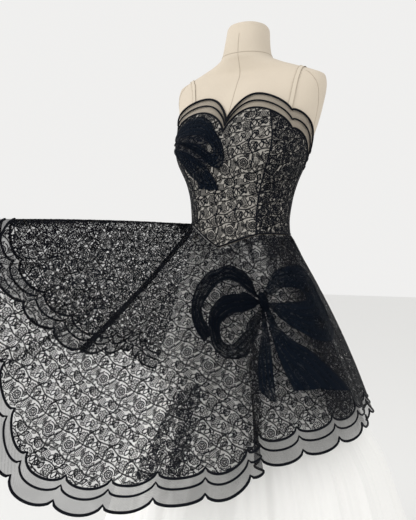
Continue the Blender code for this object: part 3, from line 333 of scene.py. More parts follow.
# Pattern of one repeat in millimetres and degrees: place, turn and what else each kind needs
THICK_LINE, FINE_LINE = 1.05, 0.8
ROSE = (13, 16, 10)
GRIDS = ((37, 17, 75), (6, 67, 60), (30, 66, 110), (10, 111, -20))
GRID_REACH, GRID_HALF, GRID_COLUMNS, GRID_ROWS = 10.0, 7.5, 6, 4
BLOSSOMS = ((27, 42, 9.5, 8), (31, 92, 9.5, 30), (36, 117, 9.0, 12))
STEMS = ((32, 2.0, 0.6), (54, 2.4, 3.4), (81, 2.2, 2.0), (102, 2.4, 4.2), (125, 2.4, 5.4))
OUTLINED = (
    (40, 34, 70, None), (46, 50, -110, SHEER), (3, 36, 60, None), (6, 50, -35, None), (17, 57, 75, None),
    (20, 75, -60, None), (41, 57, 60, None), (44, 75, -60, SHEER), (4, 84, 50, None), (2, 98, -60, None),
    (16, 85, 80, SHEER), (44, 85, 75, None), (20, 106, 60, None), (24, 122, -60, SHEER),
    (47, 106, 60, None),
)
FILLED = (
    (27, 3, 20), (29, 29, 190), (44, 29, 250), (38, 31, 10), (14, 35, 60), (36, 50, -20), (24, 20, 80),
    (29, 54, 20), (4, 56, 10), (17, 80, 190), (36, 78, 10), (27, 78, 350), (12, 99, 250), (40, 98, 60),
    (22, 84, -20), (18, 101, 160), (0, 119, 60), (9, 121, 20), (15, 129, 40), (2, 129, 30), (46, 4, 190),
    (34, 128, 20), (46, 12, 80),
)
CURLS = (
    (26, 33, 160, 12, 1), (14, 53, 300, 12, -1), (38, 55, 200, 12, 1), (12, 84, 100, 10, -1),
    (28, 102, 60, 10, 1), (44, 102, 200, 10, -1), (28, 127, 250, 12, 1), (2, 4, 250, 12, 1),
)


def sections(table, z):
    """Smooth values of a table's columns at heights, with no overshoot between its rows."""
    rows = np.array(sorted(table)) / 1000
    x, y = rows[:, 0], rows[:, 1:]
    rise = np.diff(y, axis=0) / np.diff(x)[:, None]
    slope = np.zeros_like(y)
    both = rise[:-1] * rise[1:]
    safe = np.where(both > 0, rise[:-1] + rise[1:], 1.0)
    slope[1:-1] = np.where(both > 0, 2 * both / safe, 0.0)
    z = np.clip(np.asarray(z, float), x[0], x[-1])
    k = np.clip(np.searchsorted(x, z, side="left") - 1, 0, len(x) - 2)
    span = (x[k + 1] - x[k])[..., None]
    t = (z[..., None] - x[k][..., None]) / span
    t2, t3 = t * t, t * t * t
    return (
        y[k] * (2 * t3 - 3 * t2 + 1) + slope[k] * span * (t3 - 2 * t2 + t)
        + y[k + 1] * (3 * t2 - 2 * t3) + slope[k + 1] * span * (t3 - t2)
    )


def between(a, b, share):
    return a + (b - a) * share


def ramped(x, reach):
    """0 up to 0, then rising to 1 over a reach."""
    return np.clip(x / reach, 0, 1)


def bell(x):
    return np.exp(-0.5 * x * x)


def angle_between(a, b):
    return np.abs((a - b + 180.0) % 360.0 - 180.0)


def torso_radius(azimuth, z):
    values = sections(TORSO_SECTIONS, z)
    side, ahead = np.sin(np.radians(azimuth)), np.cos(np.radians(azimuth))
    depth = np.where(ahead > 0, values[..., 1], values[..., 2])
    n = SECTION_ROUNDNESS
    radius = (np.abs(side / values[..., 0]) ** n + np.abs(ahead / depth) ** n) ** (-1 / n)
    for apex in (CUP_AZIMUTH, -CUP_AZIMUTH):
        across = angle_between(azimuth, apex) / CUP_SPREAD_DEG
        up = (z - BUST_Z) / CUP_SPREAD_Z
        radius = radius + CUP_RISE * np.exp(-0.5 * (across * across + up * up))
    return radius


def torso_point(azimuth, z, off=0.0):
    azimuth, z = np.broadcast_arrays(np.asarray(azimuth, float), np.asarray(z, float))
    radius = torso_radius(azimuth, z) + off
    a = np.radians(azimuth)
    centre = sections(TORSO_SECTIONS, z)[..., 3]
    return np.stack([radius * np.sin(a), centre - radius * np.cos(a), z], -1)


def waist_seam_z(azimuth):
    point = np.maximum(0.0, 1 - angle_between(azimuth, WAIST_POINT_AZIMUTH) / WAIST_POINT_REACH)
    pull = bell(angle_between(azimuth, WAIST_PULL_AZIMUTH) / WAIST_PULL_REACH)
    return WAIST_Z - WAIST_POINT_DROP * point ** 1.1 + WAIST_PULL_RISE * pull


def neckline_z(azimuth, edge):
    """Height of one of the neckline's three scalloped edges: lace, middle or outer."""
    azimuth = (np.asarray(azimuth, float) + 180.0) % 360.0 - 180.0
    across, left = np.abs(azimuth), azimuth >= 0
    start, low = np.zeros_like(across), NECK_START[edge]
    height = np.full_like(across, low)
    for scallop in NECK_SCALLOPS:
        end = np.where(left, scallop["left"], scallop["right"])
        t = (across - start) / (end - start)
        inside = (t >= 0) & (t <= 1 + 1e-9)
        arch = np.maximum(0.0, 4 * t * (1 - t)) ** scallop["power"]
        height = np.where(inside, low + (scallop[edge] - low) * t + scallop["rise"] * arch, height)
        start, low = end, scallop[edge]
    return height


def spline(p0, p1, p2, p3, f):
    """Smooth curve from p1 to p2 that heads as its neighbours do."""
    return 0.5 * (2 * p1 + (p2 - p0) * f + (2 * p0 - 5 * p1 + 4 * p2 - p3) * f * f
                  + (3 * p1 - p0 - 3 * p2 + p3) * f * f * f)


def periodic(values, t):
    """Smooth closed curve through evenly numbered values."""
    k = np.floor(t).astype(int)
    f = np.asarray(t - k)[..., None]
    return spline(*(values[(k + i) % len(values)] for i in (-1, 0, 1, 2)), f)


def curve_through(values, count):
    """Smooth open curve through a few points, as a number of evenly numbered points."""
    values = np.asarray(values, float)
    ends = np.concatenate([2 * values[:1] - values[1:2], values, 2 * values[-1:] - values[-2:-1]])
    t = np.linspace(0, len(values) - 1, count)
    k = np.minimum(t.astype(int), len(values) - 2)
    return spline(*(ends[k + i] for i in range(4)), (t - k)[:, None])


def fold_turn(top, bottom, rho):
    """Turn of a fold some share of the way down, from its turn at the waist to the one at the hem."""
    return between(top, bottom, np.clip(rho, 0, 1))


class Overskirt:
    """The lace overskirt: points by turn round the hem and share of the way down."""

    def __init__(self):
        self.waists, ends, bows = (np.array(column, float) for column in zip(*OVERSKIRT_LINES))
        self.ends, self.bows = ends / 1000, bows / 1000
        self.count = len(OVERSKIRT_LINES)
        self.rows_at = np.arange(HEM_STEPS * self.count + 1) / HEM_STEPS
        steps = np.linalg.norm(np.diff(periodic(self.ends, self.rows_at), axis=0), axis=1)
        self.lengths = np.concatenate([[0.0], np.cumsum(steps)])
        self.hem_length = self.lengths[-1]

    def row_of(self, turn):
        s = np.asarray(turn, float) / SCALLOPS
        rounds = np.floor(s)
        return np.interp((s - rounds) * self.hem_length, self.lengths, self.rows_at) + rounds * self.count

    def waist_azimuth(self, t):
        rounds = np.floor(t / self.count)
        values = np.append(self.waists, self.waists[0] + 360.0)
        return np.interp(t - rounds * self.count, np.arange(self.count + 1), values) + 360.0 * rounds

    def waist_point(self, t):
        azimuth = self.waist_azimuth(t)
        return torso_point(azimuth, waist_seam_z(azimuth) - WAIST_DROP, OVERSKIRT_GAP + OVERSKIRT_WALL / 2)

    def length(self, turn):
        t = self.row_of(turn)
        return np.linalg.norm(periodic(self.ends, t) - self.waist_point(t), axis=-1)

    def point(self, turn, rho):
        t = self.row_of(turn)
        rho = np.asarray(rho)[..., None]
        waist = self.waist_point(t)
        straight = between(waist, periodic(self.ends, t), rho)
        return straight + periodic(self.bows, t) * (4 * rho * (1 - rho))

    def edge(self, turn, up):
        """Share of the way down of a scalloped edge that lies some way up from the hem."""
        phase = np.asarray(turn) % 1.0
        cusp = SCALLOP_DEPTH * (1 - np.maximum(0.0, 4 * phase * (1 - phase)) ** SCALLOP_POWER)
        return 1 - (up + cusp) / self.length(turn)

    def lace_edge(self, turn):
        return self.edge(turn, BORDER_INNER + BORDER_OUTER)

    def density(self, turn, rho):
        """How much the cloth is crowded by gathers and folds, as a factor on its cover."""
        drop = rho * self.length(turn)
        from_held = (turn + SCALLOPS / 2) % SCALLOPS - SCALLOPS / 2
        out = 1.0
        for amount, reach in GATHER_COVER:
            out = out + amount * np.exp(-drop / reach)
        out = out + HELD_COVER * np.exp(-0.5 * from_held ** 2 / HELD_SPREAD) * np.exp(-drop / HELD_REACH)
        for start, end, most in CROWDED:
            out = out + most * ramped(turn - start, CROWD_RAMP) * ramped(end - turn, CROWD_RAMP)
        for top, bottom, start, end, half, depth in CREASES:
            across = (turn - fold_turn(top, bottom, rho)) / (half * 0.8)
            fade = ramped(drop - start, FOLD_FADE) * ramped(end + FOLD_FADE - drop, CREASE_FADE)
            out = out + CREASE_COVER * abs(depth) * fade * bell(across)
        for top, bottom, start, half, amount in FOLD_LINES:
            begun = ramped(drop - start, FOLD_FADE) if start else 1.0
            out = out + amount * begun * bell((turn - fold_turn(top, bottom, rho)) / half)
        return out

    def relief(self, turn, rho):
        """How far the creases and the gathers at the waist stand out."""
        drop = rho * self.length(turn)
        out = np.zeros_like(drop)
        for top, bottom, start, end, half, depth in CREASES:
            along = ramped(drop - start, end - start)
            across = (turn - fold_turn(top, bottom, rho)) / (half * (0.35 + 0.65 * along))
            last = end + CREASE_TAIL
            near = (drop > start) & (drop < last)
            fade = np.sin(math.pi * ramped(drop - start, last - start)) ** 0.8
            out = out + np.where(near, depth * fade * bell(across), 0.0)
        wave = np.sin(2 * math.pi * turn * 1.45 + 1.3 * np.sin(turn * 0.9))
        wave = wave + 0.5 * np.sin(2 * math.pi * turn * 2.3 + 2)
        return out + GATHER_DEPTH * np.exp(-drop / GATHER_REACH) * wave * ramped(drop, GATHER_START)


class Sheet:
    """Points of a surface over columns u and rows v, read anywhere between by interpolation."""

    def __init__(self, u, v, points, sign):
        self.u, self.v, self.points = u, v, points
        around, along = np.gradient(points, axis=1), np.gradient(points, axis=0)
        normals = np.cross(around, along) * sign
        self.normals = normals / np.linalg.norm(normals, axis=2, keepdims=True)

    def at(self, u, v, off=0.0):
        u, v = np.broadcast_arrays(np.asarray(u, float), np.asarray(v, float))
        i = np.interp(v, self.v, np.arange(len(self.v)))
        j = np.interp(u, self.u, np.arange(len(self.u)))
        i0 = np.clip(i.astype(int), 0, len(self.v) - 2)
        j0 = np.clip(j.astype(int), 0, len(self.u) - 2)
        fi, fj = (i - i0)[..., None], (j - j0)[..., None]

        def read(grid):
            top = grid[i0, j0] * (1 - fj) + grid[i0, j0 + 1] * fj
            low = grid[i0 + 1, j0] * (1 - fj) + grid[i0 + 1, j0 + 1] * fj
            return top * (1 - fi) + low * fi

        return read(self.points) + read(self.normals) * np.asarray(off)[..., None]


def skirt_sheet(skirt):
    turns = np.linspace(-6.0, 32.0, 457)
    rhos = np.linspace(0.0, 1.0, 73)
    grid_turn, grid_rho = np.meshgrid(turns, rhos)
    plain = Sheet(turns, rhos, skirt.point(grid_turn, grid_rho), -1)
    raised = plain.points + plain.normals * skirt.relief(grid_turn, grid_rho)[..., None]
    return Sheet(turns, rhos, raised, -1)


def form_heights(below, above):
    """Heights up the form, with a number of rows below its shoulders and closer ones above."""
    return np.concatenate([np.linspace(FORM_BOTTOM_Z, 1.38, below), np.linspace(1.384, FORM_TOP_Z, above)])


def form_sheet():
    azimuths = np.linspace(-190.0, 190.0, 381)
    heights = form_heights(88, 60)
    return Sheet(azimuths, heights, torso_point(*np.meshgrid(azimuths, heights)), 1)


def add_mesh(name, points, faces, finishes, which=None, smooth=True):
    """Mesh object from arrays of points and of faces that all have the same number of corners."""
    points = np.asarray(points, np.float32).reshape(-1, 3)
    faces = np.asarray(faces, np.int32)
    mesh = bpy.data.meshes.new(name)
    mesh.vertices.add(len(points))
    mesh.vertices.foreach_set("co", points.ravel())
    mesh.loops.add(faces.size)
    mesh.loops.foreach_set("vertex_index", faces.ravel())
    mesh.polygons.add(len(faces))
    mesh.polygons.foreach_set("loop_start", np.arange(len(faces), dtype=np.int32) * faces.shape[1])
    for finish in finishes if isinstance(finishes, list) else [finishes]:
        mesh.materials.append(finish)
    if which is not None:
        mesh.polygons.foreach_set("material_index", np.asarray(which, np.int32))
    mesh.update(calc_edges=True)
    mesh.polygons.foreach_set("use_smooth", np.full(len(faces), smooth))
    made = bpy.data.objects.new(name, mesh)
    bpy.context.scene.collection.objects.link(made)
    return made


def grid_faces(k):
    """Quads between the numbers of points kept in rows and columns."""
    return np.stack([k[:-1, :-1], k[:-1, 1:], k[1:, 1:], k[1:, :-1]], -1).reshape(-1, 4)


def placed(obj, slot_name, *nodes):
    """Fix a piece on the part and hide the CAD nodes that it stands for; slot_name is not used."""
    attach(obj, "root")
    if nodes:
        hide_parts(*nodes)
    return obj


def cloth_piece(name, points, finish, slot_name, *nodes):
    """Piece made from a grid of points."""
    rows, columns = points.shape[:2]
    faces = grid_faces(np.arange(rows * columns).reshape(rows, columns))
    return placed(add_mesh(name, points, faces, finish), slot_name, *nodes)


def crowd(obj, amounts):
    """How much each point's net is crowded together: its material reads it as a factor on its cover."""
    attribute = obj.data.attributes.new("crowding", "FLOAT", "POINT")
    attribute.data.foreach_set("value", amounts.ravel().astype(np.float32))


def tube(points, normals, radius, flatness=1.0, sides=6):
    """Points and faces of a cord along a line of points that lies on a surface."""
    along = np.gradient(points, axis=0)
    along /= np.linalg.norm(along, axis=1, keepdims=True)
    across = np.cross(along, normals)
    across /= np.linalg.norm(across, axis=1, keepdims=True)
    up = np.cross(across, along)
    turns = np.arange(sides) * 2 * math.pi / sides
    ring = (across[:, None] * np.cos(turns)[None, :, None]
            + up[:, None] * np.sin(turns)[None, :, None] * flatness) * radius
    rings = points[:, None] + ring
    k = np.arange(len(points) * sides).reshape(len(points), sides)
    return rings.reshape(-1, 3), grid_faces(np.concatenate([k, k[:, :1]], axis=1))


def line_normals(sheet, u, v):
    return sheet.at(u, v, 1.0) - sheet.at(u, v, 0.0)


def cord_on(sheet, u, v, off, radius, flatness=1.0, sides=6):
    return tube(sheet.at(u, v, off), line_normals(sheet, u, v), radius, flatness, sides)


def edge_cords(sheet, points, u, v, radius):
    """Thin cords along the two edges of a ribbon."""
    return [tube(points[:, k], line_normals(sheet, u[:, k], v[:, k]), radius, 1.0, 5) for k in (0, -1)]


def cords_piece(name, tubes, finish, slot_name):
    """Cords joined to one piece."""
    points, faces, count = [], [], 0
    for tube_points, tube_faces in tubes:
        points.append(tube_points)
        faces.append(tube_faces + count)
        count += len(tube_points)
    return placed(add_mesh(name, np.concatenate(points), np.concatenate(faces), finish), slot_name)


# Materials

def new_material(name, color, roughness, specular=0.14, **inputs):
    made = bpy.data.materials.new(name)
    made.use_nodes = True
    shader = made.node_tree.nodes["Principled BSDF"]
    shader.inputs["Base Color"].default_value = (*color, 1.0)
    shader.inputs["Roughness"].default_value = roughness
    shader.inputs["Specular IOR Level"].default_value = specular
    for key, value in inputs.items():
        shader.inputs[key.replace("_", " ")].default_value = value
    return made, made.node_tree, shader


def add_node(tree, kind, **values):
    """Node with values for its inputs or, by their names, for its own settings."""
    node = tree.nodes.new(kind)
    for key, value in values.items():
        if key in node.inputs:
            node.inputs[key].default_value = value
        else:
            setattr(node, key, value)
    return node


def texture(tree, kind, repeats=1.0, **values):
    """Texture node over the object's own coordinates, times a number of repeats."""
    source = add_node(tree, "ShaderNodeTexCoord")
    mapping = add_node(tree, "ShaderNodeMapping", Scale=(repeats, repeats, repeats))
    node = add_node(tree, kind, **values)
    tree.links.new(source.outputs["Object"], mapping.inputs["Vector"])
    tree.links.new(mapping.outputs["Vector"], node.inputs["Vector"])
    return node


def ramp(tree, source, low, high, low_color, high_color):
    node = add_node(tree, "ShaderNodeValToRGB")
    for element, place, color in zip(node.color_ramp.elements, (low, high), (low_color, high_color)):
        element.position = place
        element.color = color
    tree.links.new(source, node.inputs["Fac"])
    return node.outputs["Color"]


def grey(value):
    return (value, value, value, 1.0)


def calculate(tree, operation, first, second, use_clamp=False):
    node = add_node(tree, "ShaderNodeMath", operation=operation, use_clamp=use_clamp)
    tree.links.new(first, node.inputs[0])
    tree.links.new(second, node.inputs[1])
    return node.outputs[0]


def bump(tree, shader, height, strength, distance):
    node = add_node(tree, "ShaderNodeBump", Strength=strength, Distance=distance)
    tree.links.new(height, node.inputs["Height"])
    tree.links.new(node.outputs["Normal"], shader.inputs["Normal"])


def net_material(name, color, between, on_thread, threads_per_metre, sheen, gathered):
    """Sheer net: threads more opaque than the air between them, a little uneven over the cloth."""
    made, tree, shader = new_material(name, color, 0.8, 0.03, Sheen_Weight=sheen, Sheen_Roughness=0.5)
    cells = texture(tree, "ShaderNodeTexVoronoi", threads_per_metre, feature="DISTANCE_TO_EDGE", Scale=1.0,
                    Randomness=0.35)
    threads = ramp(tree, cells.outputs["Distance"], 0.04, 0.22, grey(on_thread), grey(between))
    cloudy = texture(tree, "ShaderNodeTexNoise", Scale=14.0, Detail=3.0)
    uneven = ramp(tree, cloudy.outputs["Fac"], 0.3, 0.7, grey(0.85), grey(1.12))
    cover = calculate(tree, "MULTIPLY", threads, uneven, use_clamp=True)
    if gathered:
        crowding = add_node(tree, "ShaderNodeAttribute", attribute_name="crowding")
        cover = calculate(tree, "MULTIPLY", cover, crowding.outputs["Fac"], use_clamp=True)
    tree.links.new(cover, shader.inputs["Alpha"])
    return made


def woven_material(name, color, dark, threads_per_metre, roughness, strength, sheen, patch):
    """Plain weave: fine crossing threads and slow changes of shade."""
    made, tree, shader = new_material(name, color, roughness, Sheen_Weight=sheen, Sheen_Roughness=0.6)
    waves = []
    for axis in ("X", "Z"):
        wave = texture(tree, "ShaderNodeTexWave", bands_direction=axis, Scale=threads_per_metre,
                       Distortion=1.2, Detail=1.0)
        waves.append(wave.outputs["Fac"])
    weave = calculate(tree, "ADD", *waves)
    cloudy = texture(tree, "ShaderNodeTexNoise", Scale=9.0, Detail=5.0)
    patched = (*[c * (1 - patch) for c in color], 1.0)
    shade = ramp(tree, cloudy.outputs["Fac"], 0.35, 0.65, patched, (*color, 1.0))
    gaps = ramp(tree, weave, 0.2, 1.0, grey(0.35), grey(0.0))
    mix = add_node(tree, "ShaderNodeMix", data_type="RGBA", blend_type="MIX")
    tree.links.new(gaps, mix.inputs[MIX_FACTOR])
    tree.links.new(shade, mix.inputs[MIX_FIRST])
    mix.inputs[MIX_SECOND].default_value = (*dark, 1.0)
    tree.links.new(mix.outputs[MIX_RESULT], shader.inputs["Base Color"])
    bump(tree, shader, weave, strength, 0.0003)
    return made


def cord_material(name, color):
    """Satin stitched cord: fine slanted threads."""
    made, tree, shader = new_material(name, color, 0.6, 0.05, Sheen_Weight=0.01, Sheen_Roughness=0.4)
    wave = texture(tree, "ShaderNodeTexWave", bands_direction="DIAGONAL", Scale=260.0, Distortion=0.6)
    bump(tree, shader, wave.outputs["Fac"], 0.5, 0.0002)
    return made


def iron_material():
    made, tree, shader = new_material("stand_iron", (0.03, 0.03, 0.034), 0.4, Metallic=0.85)
    noise = texture(tree, "ShaderNodeTexNoise", Scale=60.0, Detail=6.0)
    rough = ramp(tree, noise.outputs["Fac"], 0.3, 0.7, grey(0.32), grey(0.55))
    tree.links.new(rough, shader.inputs["Roughness"])
    bump(tree, shader, noise.outputs["Fac"], 0.15, 0.0005)
    return made


def make_finishes():
    finishes = {name: woven_material(name, *values) for name, values in WEAVES.items()}
    finishes.update({name: net_material(name, *values) for name, values in NETS.items()})
    finishes["cord"] = cord_material("black_cord", (0.005, 0.006, 0.009))
    thread = cord_material("lace_thread", (0.006, 0.007, 0.010))
    finishes["lace"] = [thread, finishes["lace_dense"], finishes["lace_sheer"]]
    return finishes


# Lace pattern: one repeat, drawn as strokes in millimetres

class Strokes:
    """Flat ribbons of changing width, kept as quads between pairs of points, in millimetres."""

    def __init__(self):
        self.points, self.faces, self.kinds, self.count = [], [], [], 0

    def add(self, line, width, kind=LINE):
        line = np.asarray(line, float)
        width = np.broadcast_to(np.asarray(width, float), (len(line),))
        if kind == LINE:
            width = width * np.where(width > THICK_LINE, 1.55, 1.15)
        along = np.gradient(line, axis=0)
        along /= np.maximum(np.linalg.norm(along, axis=1, keepdims=True), 1e-9)
        across = np.stack([-along[:, 1], along[:, 0]], 1) * width[:, None] / 2
        pairs = np.stack([line + across, line - across], 1)
        k = np.arange(2 * len(line)).reshape(-1, 2) + self.count
        faces = np.stack([k[:-1, 0], k[:-1, 1], k[1:, 1], k[1:, 0]], -1)
        self.points.append(pairs.reshape(-1, 2))
        self.faces.append(faces)
        self.kinds.append(np.full(len(faces), kind))
        self.count += 2 * len(line)

    def arrays(self):
        return np.concatenate(self.points) / 1000, np.concatenate(self.faces), np.concatenate(self.kinds)


def turned(points, angle, x, y):
    a = math.radians(angle)
    points = np.asarray(points, float)
    return np.stack([
        points[:, 0] * math.cos(a) - points[:, 1] * math.sin(a) + x,
        points[:, 0] * math.sin(a) + points[:, 1] * math.cos(a) + y,
    ], 1)


def ring(s, x, y, radius, width, steps, lobes=0, depth=0.0, angle=0.0, start=0.0, end=360.0):
    """Round or lobed outline, or a part of one."""
    a = np.radians(np.linspace(start, end, steps + 1))
    r = radius * (1 - depth + depth * np.abs(np.sin(lobes * a / 2)))
    s.add(turned(np.stack([r * np.cos(a), r * np.sin(a)], 1), angle, x, y), width)


def leaf(s, x, y, angle, length, width, line, steps, bend, fill, vein=False):
    """Pointed leaf from its stalk end: an outline on both sides, and perhaps a filling and a vein."""

    def half_width(t):
        return width / 2 * np.sin(math.pi * t ** 0.85)

    def along(t, side, stroke, kind=LINE):
        across = bend * length * np.sin(math.pi * t) + side * half_width(t)
        s.add(turned(np.stack([t * length, across], 1), angle, x, y), stroke, kind)

    for side in (1, -1):
        along(np.linspace(0, 1, steps + 1), side, line)
    if fill is not None:
        t = np.linspace(0, 1, 5)
        along(t, 0, 2 * half_width(t), fill)
    if vein:
        along(np.array([0.05, 0.4, 0.85]), 0, FINE_LINE)


def rays(s, x, y, angles, inner, outer, width=0.9):
    """Short straight stitches that point away from a centre."""
    for angle in angles:
        s.add(turned([(inner, 0), (outer, 0)], angle, x, y), width)


def rose(s, x, y, angle):
    """Open rose: coiled middle, a ring of petal folds, and a wide lobed edge filled with fine rays."""
    ring(s, x, y, 2.2, 1.1, 7)
    ring(s, x, y, 4.6, 1.2, 10, 3, 0.18, angle)
    ring(s, x, y, 7.8, 1.4, 18, 5, 0.14, angle + 20)
    rays(s, x, y, np.arange(0, 360, 30) + angle, 5.0, 7.0, 1.0)
    ring(s, x, y, 14.5, 1.3, 24, 8, 0.14, angle, 110, 360)
    ring(s, x, y, 11.2, 0.9, 12, 0, 0.0, angle, 115, 355)
    rays(s, x, y, np.arange(120, 356, 15) + angle, 11.4, 13.6, 1.0)
    rays(s, x, y, np.arange(118, 356, 20) + angle, 8.4, 10.8)
    ring(s, x, y, 12.5, 1.3, 8, 2, 0.2, angle, 5, 105)


def lattice(s, x, y, angle):
    """Egg shaped patch of fine bars both ways, inside an outline."""
    a = np.linspace(0, 2 * math.pi, 15)
    outline = np.stack([GRID_REACH * np.cos(a), GRID_HALF * np.sin(a) * (1 + 0.2 * np.cos(a))], 1)
    s.add(turned(outline, angle, x, y), FINE_LINE)
    for share in np.linspace(-1, 1, GRID_COLUMNS + 2)[1:-1]:
        along, reach = share * GRID_REACH, GRID_HALF * math.sqrt(1 - share * share)
        s.add(turned([(along, -reach), (along, reach)], angle, x, y), FINE_LINE)
    for share in np.linspace(-1, 1, GRID_ROWS + 2)[1:-1]:
        across, reach = share * GRID_HALF, GRID_REACH * math.sqrt(1 - share * share)
        s.add(turned([(-reach, across), (reach, across)], angle, x, y), FINE_LINE)


def blossom(s, x, y, radius, angle, petals=7):
    """Round flower: a sheer disc with a lobed edge, a ring and rays."""
    t = np.linspace(-1, 1, 7)
    disc = np.stack([0.92 * radius * t, 0 * t], 1)
    s.add(turned(disc, angle, x, y), 1.84 * radius * np.sqrt(1 - 0.98 * t * t), SHEER)
    ring(s, x, y, radius, 1.1, 3 * petals, petals, 0.2, angle)
    ring(s, x, y, radius * 0.28, 1.1, 6)
    rays(s, x, y, np.arange(petals) * 360 / petals + angle, radius * 0.42, radius * 0.78, 1.1)
    rays(s, x, y, (np.arange(petals) + 0.5) * 360 / petals + angle, radius * 0.6, radius * 0.9, FINE_LINE)


def curl(s, x, y, angle, size, side):
    """Tendril that winds up at its end."""
    t = np.linspace(0, 1, 8)
    turn = side * 1.5 * math.pi * t ** 1.2
    step = size * (1 - 0.75 * t)
    points = np.cumsum(np.stack([step * np.cos(turn), step * np.sin(turn)], 1) / 4, axis=0)
    s.add(turned(points, angle, x, y), 1.1)


def stem(s, start, end, sway, waves, phase, steps=14):
    """Winding stem on a wider sheer ribbon."""
    t = np.linspace(0, 1, steps + 1)
    start, end = np.array(start, float), np.array(end, float)
    along = (end - start) / np.linalg.norm(end - start)
    swing = sway * np.sin(2 * math.pi * waves * t + phase)
    line = start + np.outer(t, end - start) + np.outer(swing, [-along[1], along[0]])
    s.add(line, 4.4, SHEER)
    s.add(line, 1.2)


def lace_repeat():
    """One repeat: rows of roses, round flowers, grid patches and leaf pairs between winding stems."""
    s = Strokes()
    rose(s, *ROSE)
    for row in GRIDS:
        lattice(s, *row)
    for row in BLOSSOMS:
        blossom(s, *row)
    for x, y, angle, kind in OUTLINED:
        leaf(s, x, y, angle, 14.5, 7.0, 1.3, 5, 0.06, kind, kind is not None)
    for y, sway, phase in STEMS:
        stem(s, (0, y), (48, y), sway, 1, phase)
    stem(s, (27, 0), (47, 130), 3.4, 3, 0.9, 30)
    for x, y, angle in FILLED:
        leaf(s, x, y, angle, 10.5, 5.6, 1.0, 4, 0.1, DENSE)
    for row in CURLS:
        curl(s, *row)
    return s.arrays()


def tiled(box, angle):
    """Repeats laid over a box of a panel's flat plan, turned by an angle."""
    points, faces, kinds = lace_repeat()
    low, high = np.array(box[0]), np.array(box[1])
    a = math.radians(angle)
    turn = np.array([[math.cos(a), math.sin(a)], [-math.sin(a), math.cos(a)]])
    middle = (low + high) / 2
    across, up = np.array(LACE_ACROSS), np.array(LACE_UP)
    reach = math.ceil(np.linalg.norm(high - low) / 2 / LACE_ACROSS[0]) + 3
    steps = np.arange(-reach, reach + 1)
    offsets = np.array([i * across + j * up for i in steps for j in steps])
    centres = (offsets + np.array([LACE_ACROSS[0], LACE_UP[1]]) / 2) @ turn + middle
    offsets = offsets[np.all((centres > low - LACE_MARGIN) & (centres < high + LACE_MARGIN), axis=1)]
    all_points = ((points[None] + offsets[:, None]) @ turn + middle).reshape(-1, 2)
    all_faces = (faces[None] + (np.arange(len(offsets)) * len(points))[:, None, None]).reshape(-1, 4)
    return all_points, all_faces, np.tile(kinds, len(offsets))


def lace_piece(name, surface, faces, kinds, finishes):
    """Piece made of some of the strokes, whose points lie on the cloth."""
    used, back = np.unique(faces, return_inverse=True)
    lace = add_mesh(name, surface[used], back.reshape(-1, 4), finishes["lace"], which=kinds, smooth=False)
    return placed(lace, "black_lace")


class FlatPanel:
    """Flat plan of a panel of the overskirt, unrolled strip by strip."""

    def __init__(self, skirt, start, end):
        self.turns = np.linspace(start, end, int((end - start) * PLAN_STEPS) + 1)
        waist = skirt.point(self.turns, np.zeros(len(self.turns)))
        hem = skirt.point(self.turns, np.ones(len(self.turns)))
        plan_waist, plan_hem = [np.zeros(2)], [np.array([0.0, -np.linalg.norm(hem[0] - waist[0])])]
        for k in range(len(self.turns) - 1):
            corner = third_corner(plan_waist[-1], plan_hem[-1], hem[k + 1] - waist[k], hem[k + 1] - hem[k])
            plan_waist.append(third_corner(plan_waist[-1], corner, waist[k + 1] - waist[k],
                                           hem[k + 1] - waist[k + 1]))
            plan_hem.append(corner)
        self.waist, self.hem = np.array(plan_waist), np.array(plan_hem)

    def box(self):
        outline = np.concatenate([self.waist, self.hem])
        return outline.min(0), outline.max(0)

    def beside(self, points, k):
        """How far points of the plan lie to one side of the line down at one of its turns."""
        line, away = self.hem[k] - self.waist[k], points - self.waist[k]
        return (line[0] * away[:, 1] - line[1] * away[:, 0]) / np.linalg.norm(line)

    def turn_and_rho(self, points):
        """Turn and share of the way down of points of the plan; turn is nan outside."""
        turn, rho = np.full(len(points), np.nan), np.zeros(len(points))
        for k in range(len(self.turns) - 1):
            first, second = self.beside(points, k), self.beside(points, k + 1)
            inside = (first >= 0) & (second < 0)
            if not inside.any():
                continue
            share = (first / (first - second + 1e-12))[inside]
            waist = between(self.waist[k], self.waist[k + 1], share[:, None])
            line = between(self.hem[k], self.hem[k + 1], share[:, None]) - waist
            part = ((points[inside] - waist) * line).sum(1) / (line * line).sum(1)
            fits = (part > -0.2) & (part < 1.1)
            chosen = np.flatnonzero(inside)[fits]
            turn[chosen] = between(self.turns[k], self.turns[k + 1], share[fits])
            rho[chosen] = part[fits]
        return turn, rho


def third_corner(a, b, to_a, to_b):
    """Flat corner as far from a and b as two steps are long, on the side that unrolling goes to."""
    line, from_a, from_b = b - a, np.linalg.norm(to_a), np.linalg.norm(to_b)
    size = np.linalg.norm(line)
    along = (from_a ** 2 - from_b ** 2 + size ** 2) / (2 * size)
    out = math.sqrt(max(from_a ** 2 - along ** 2, 0.0))
    unit = line / size
    return a + unit * along + np.array([-unit[1], unit[0]]) * out


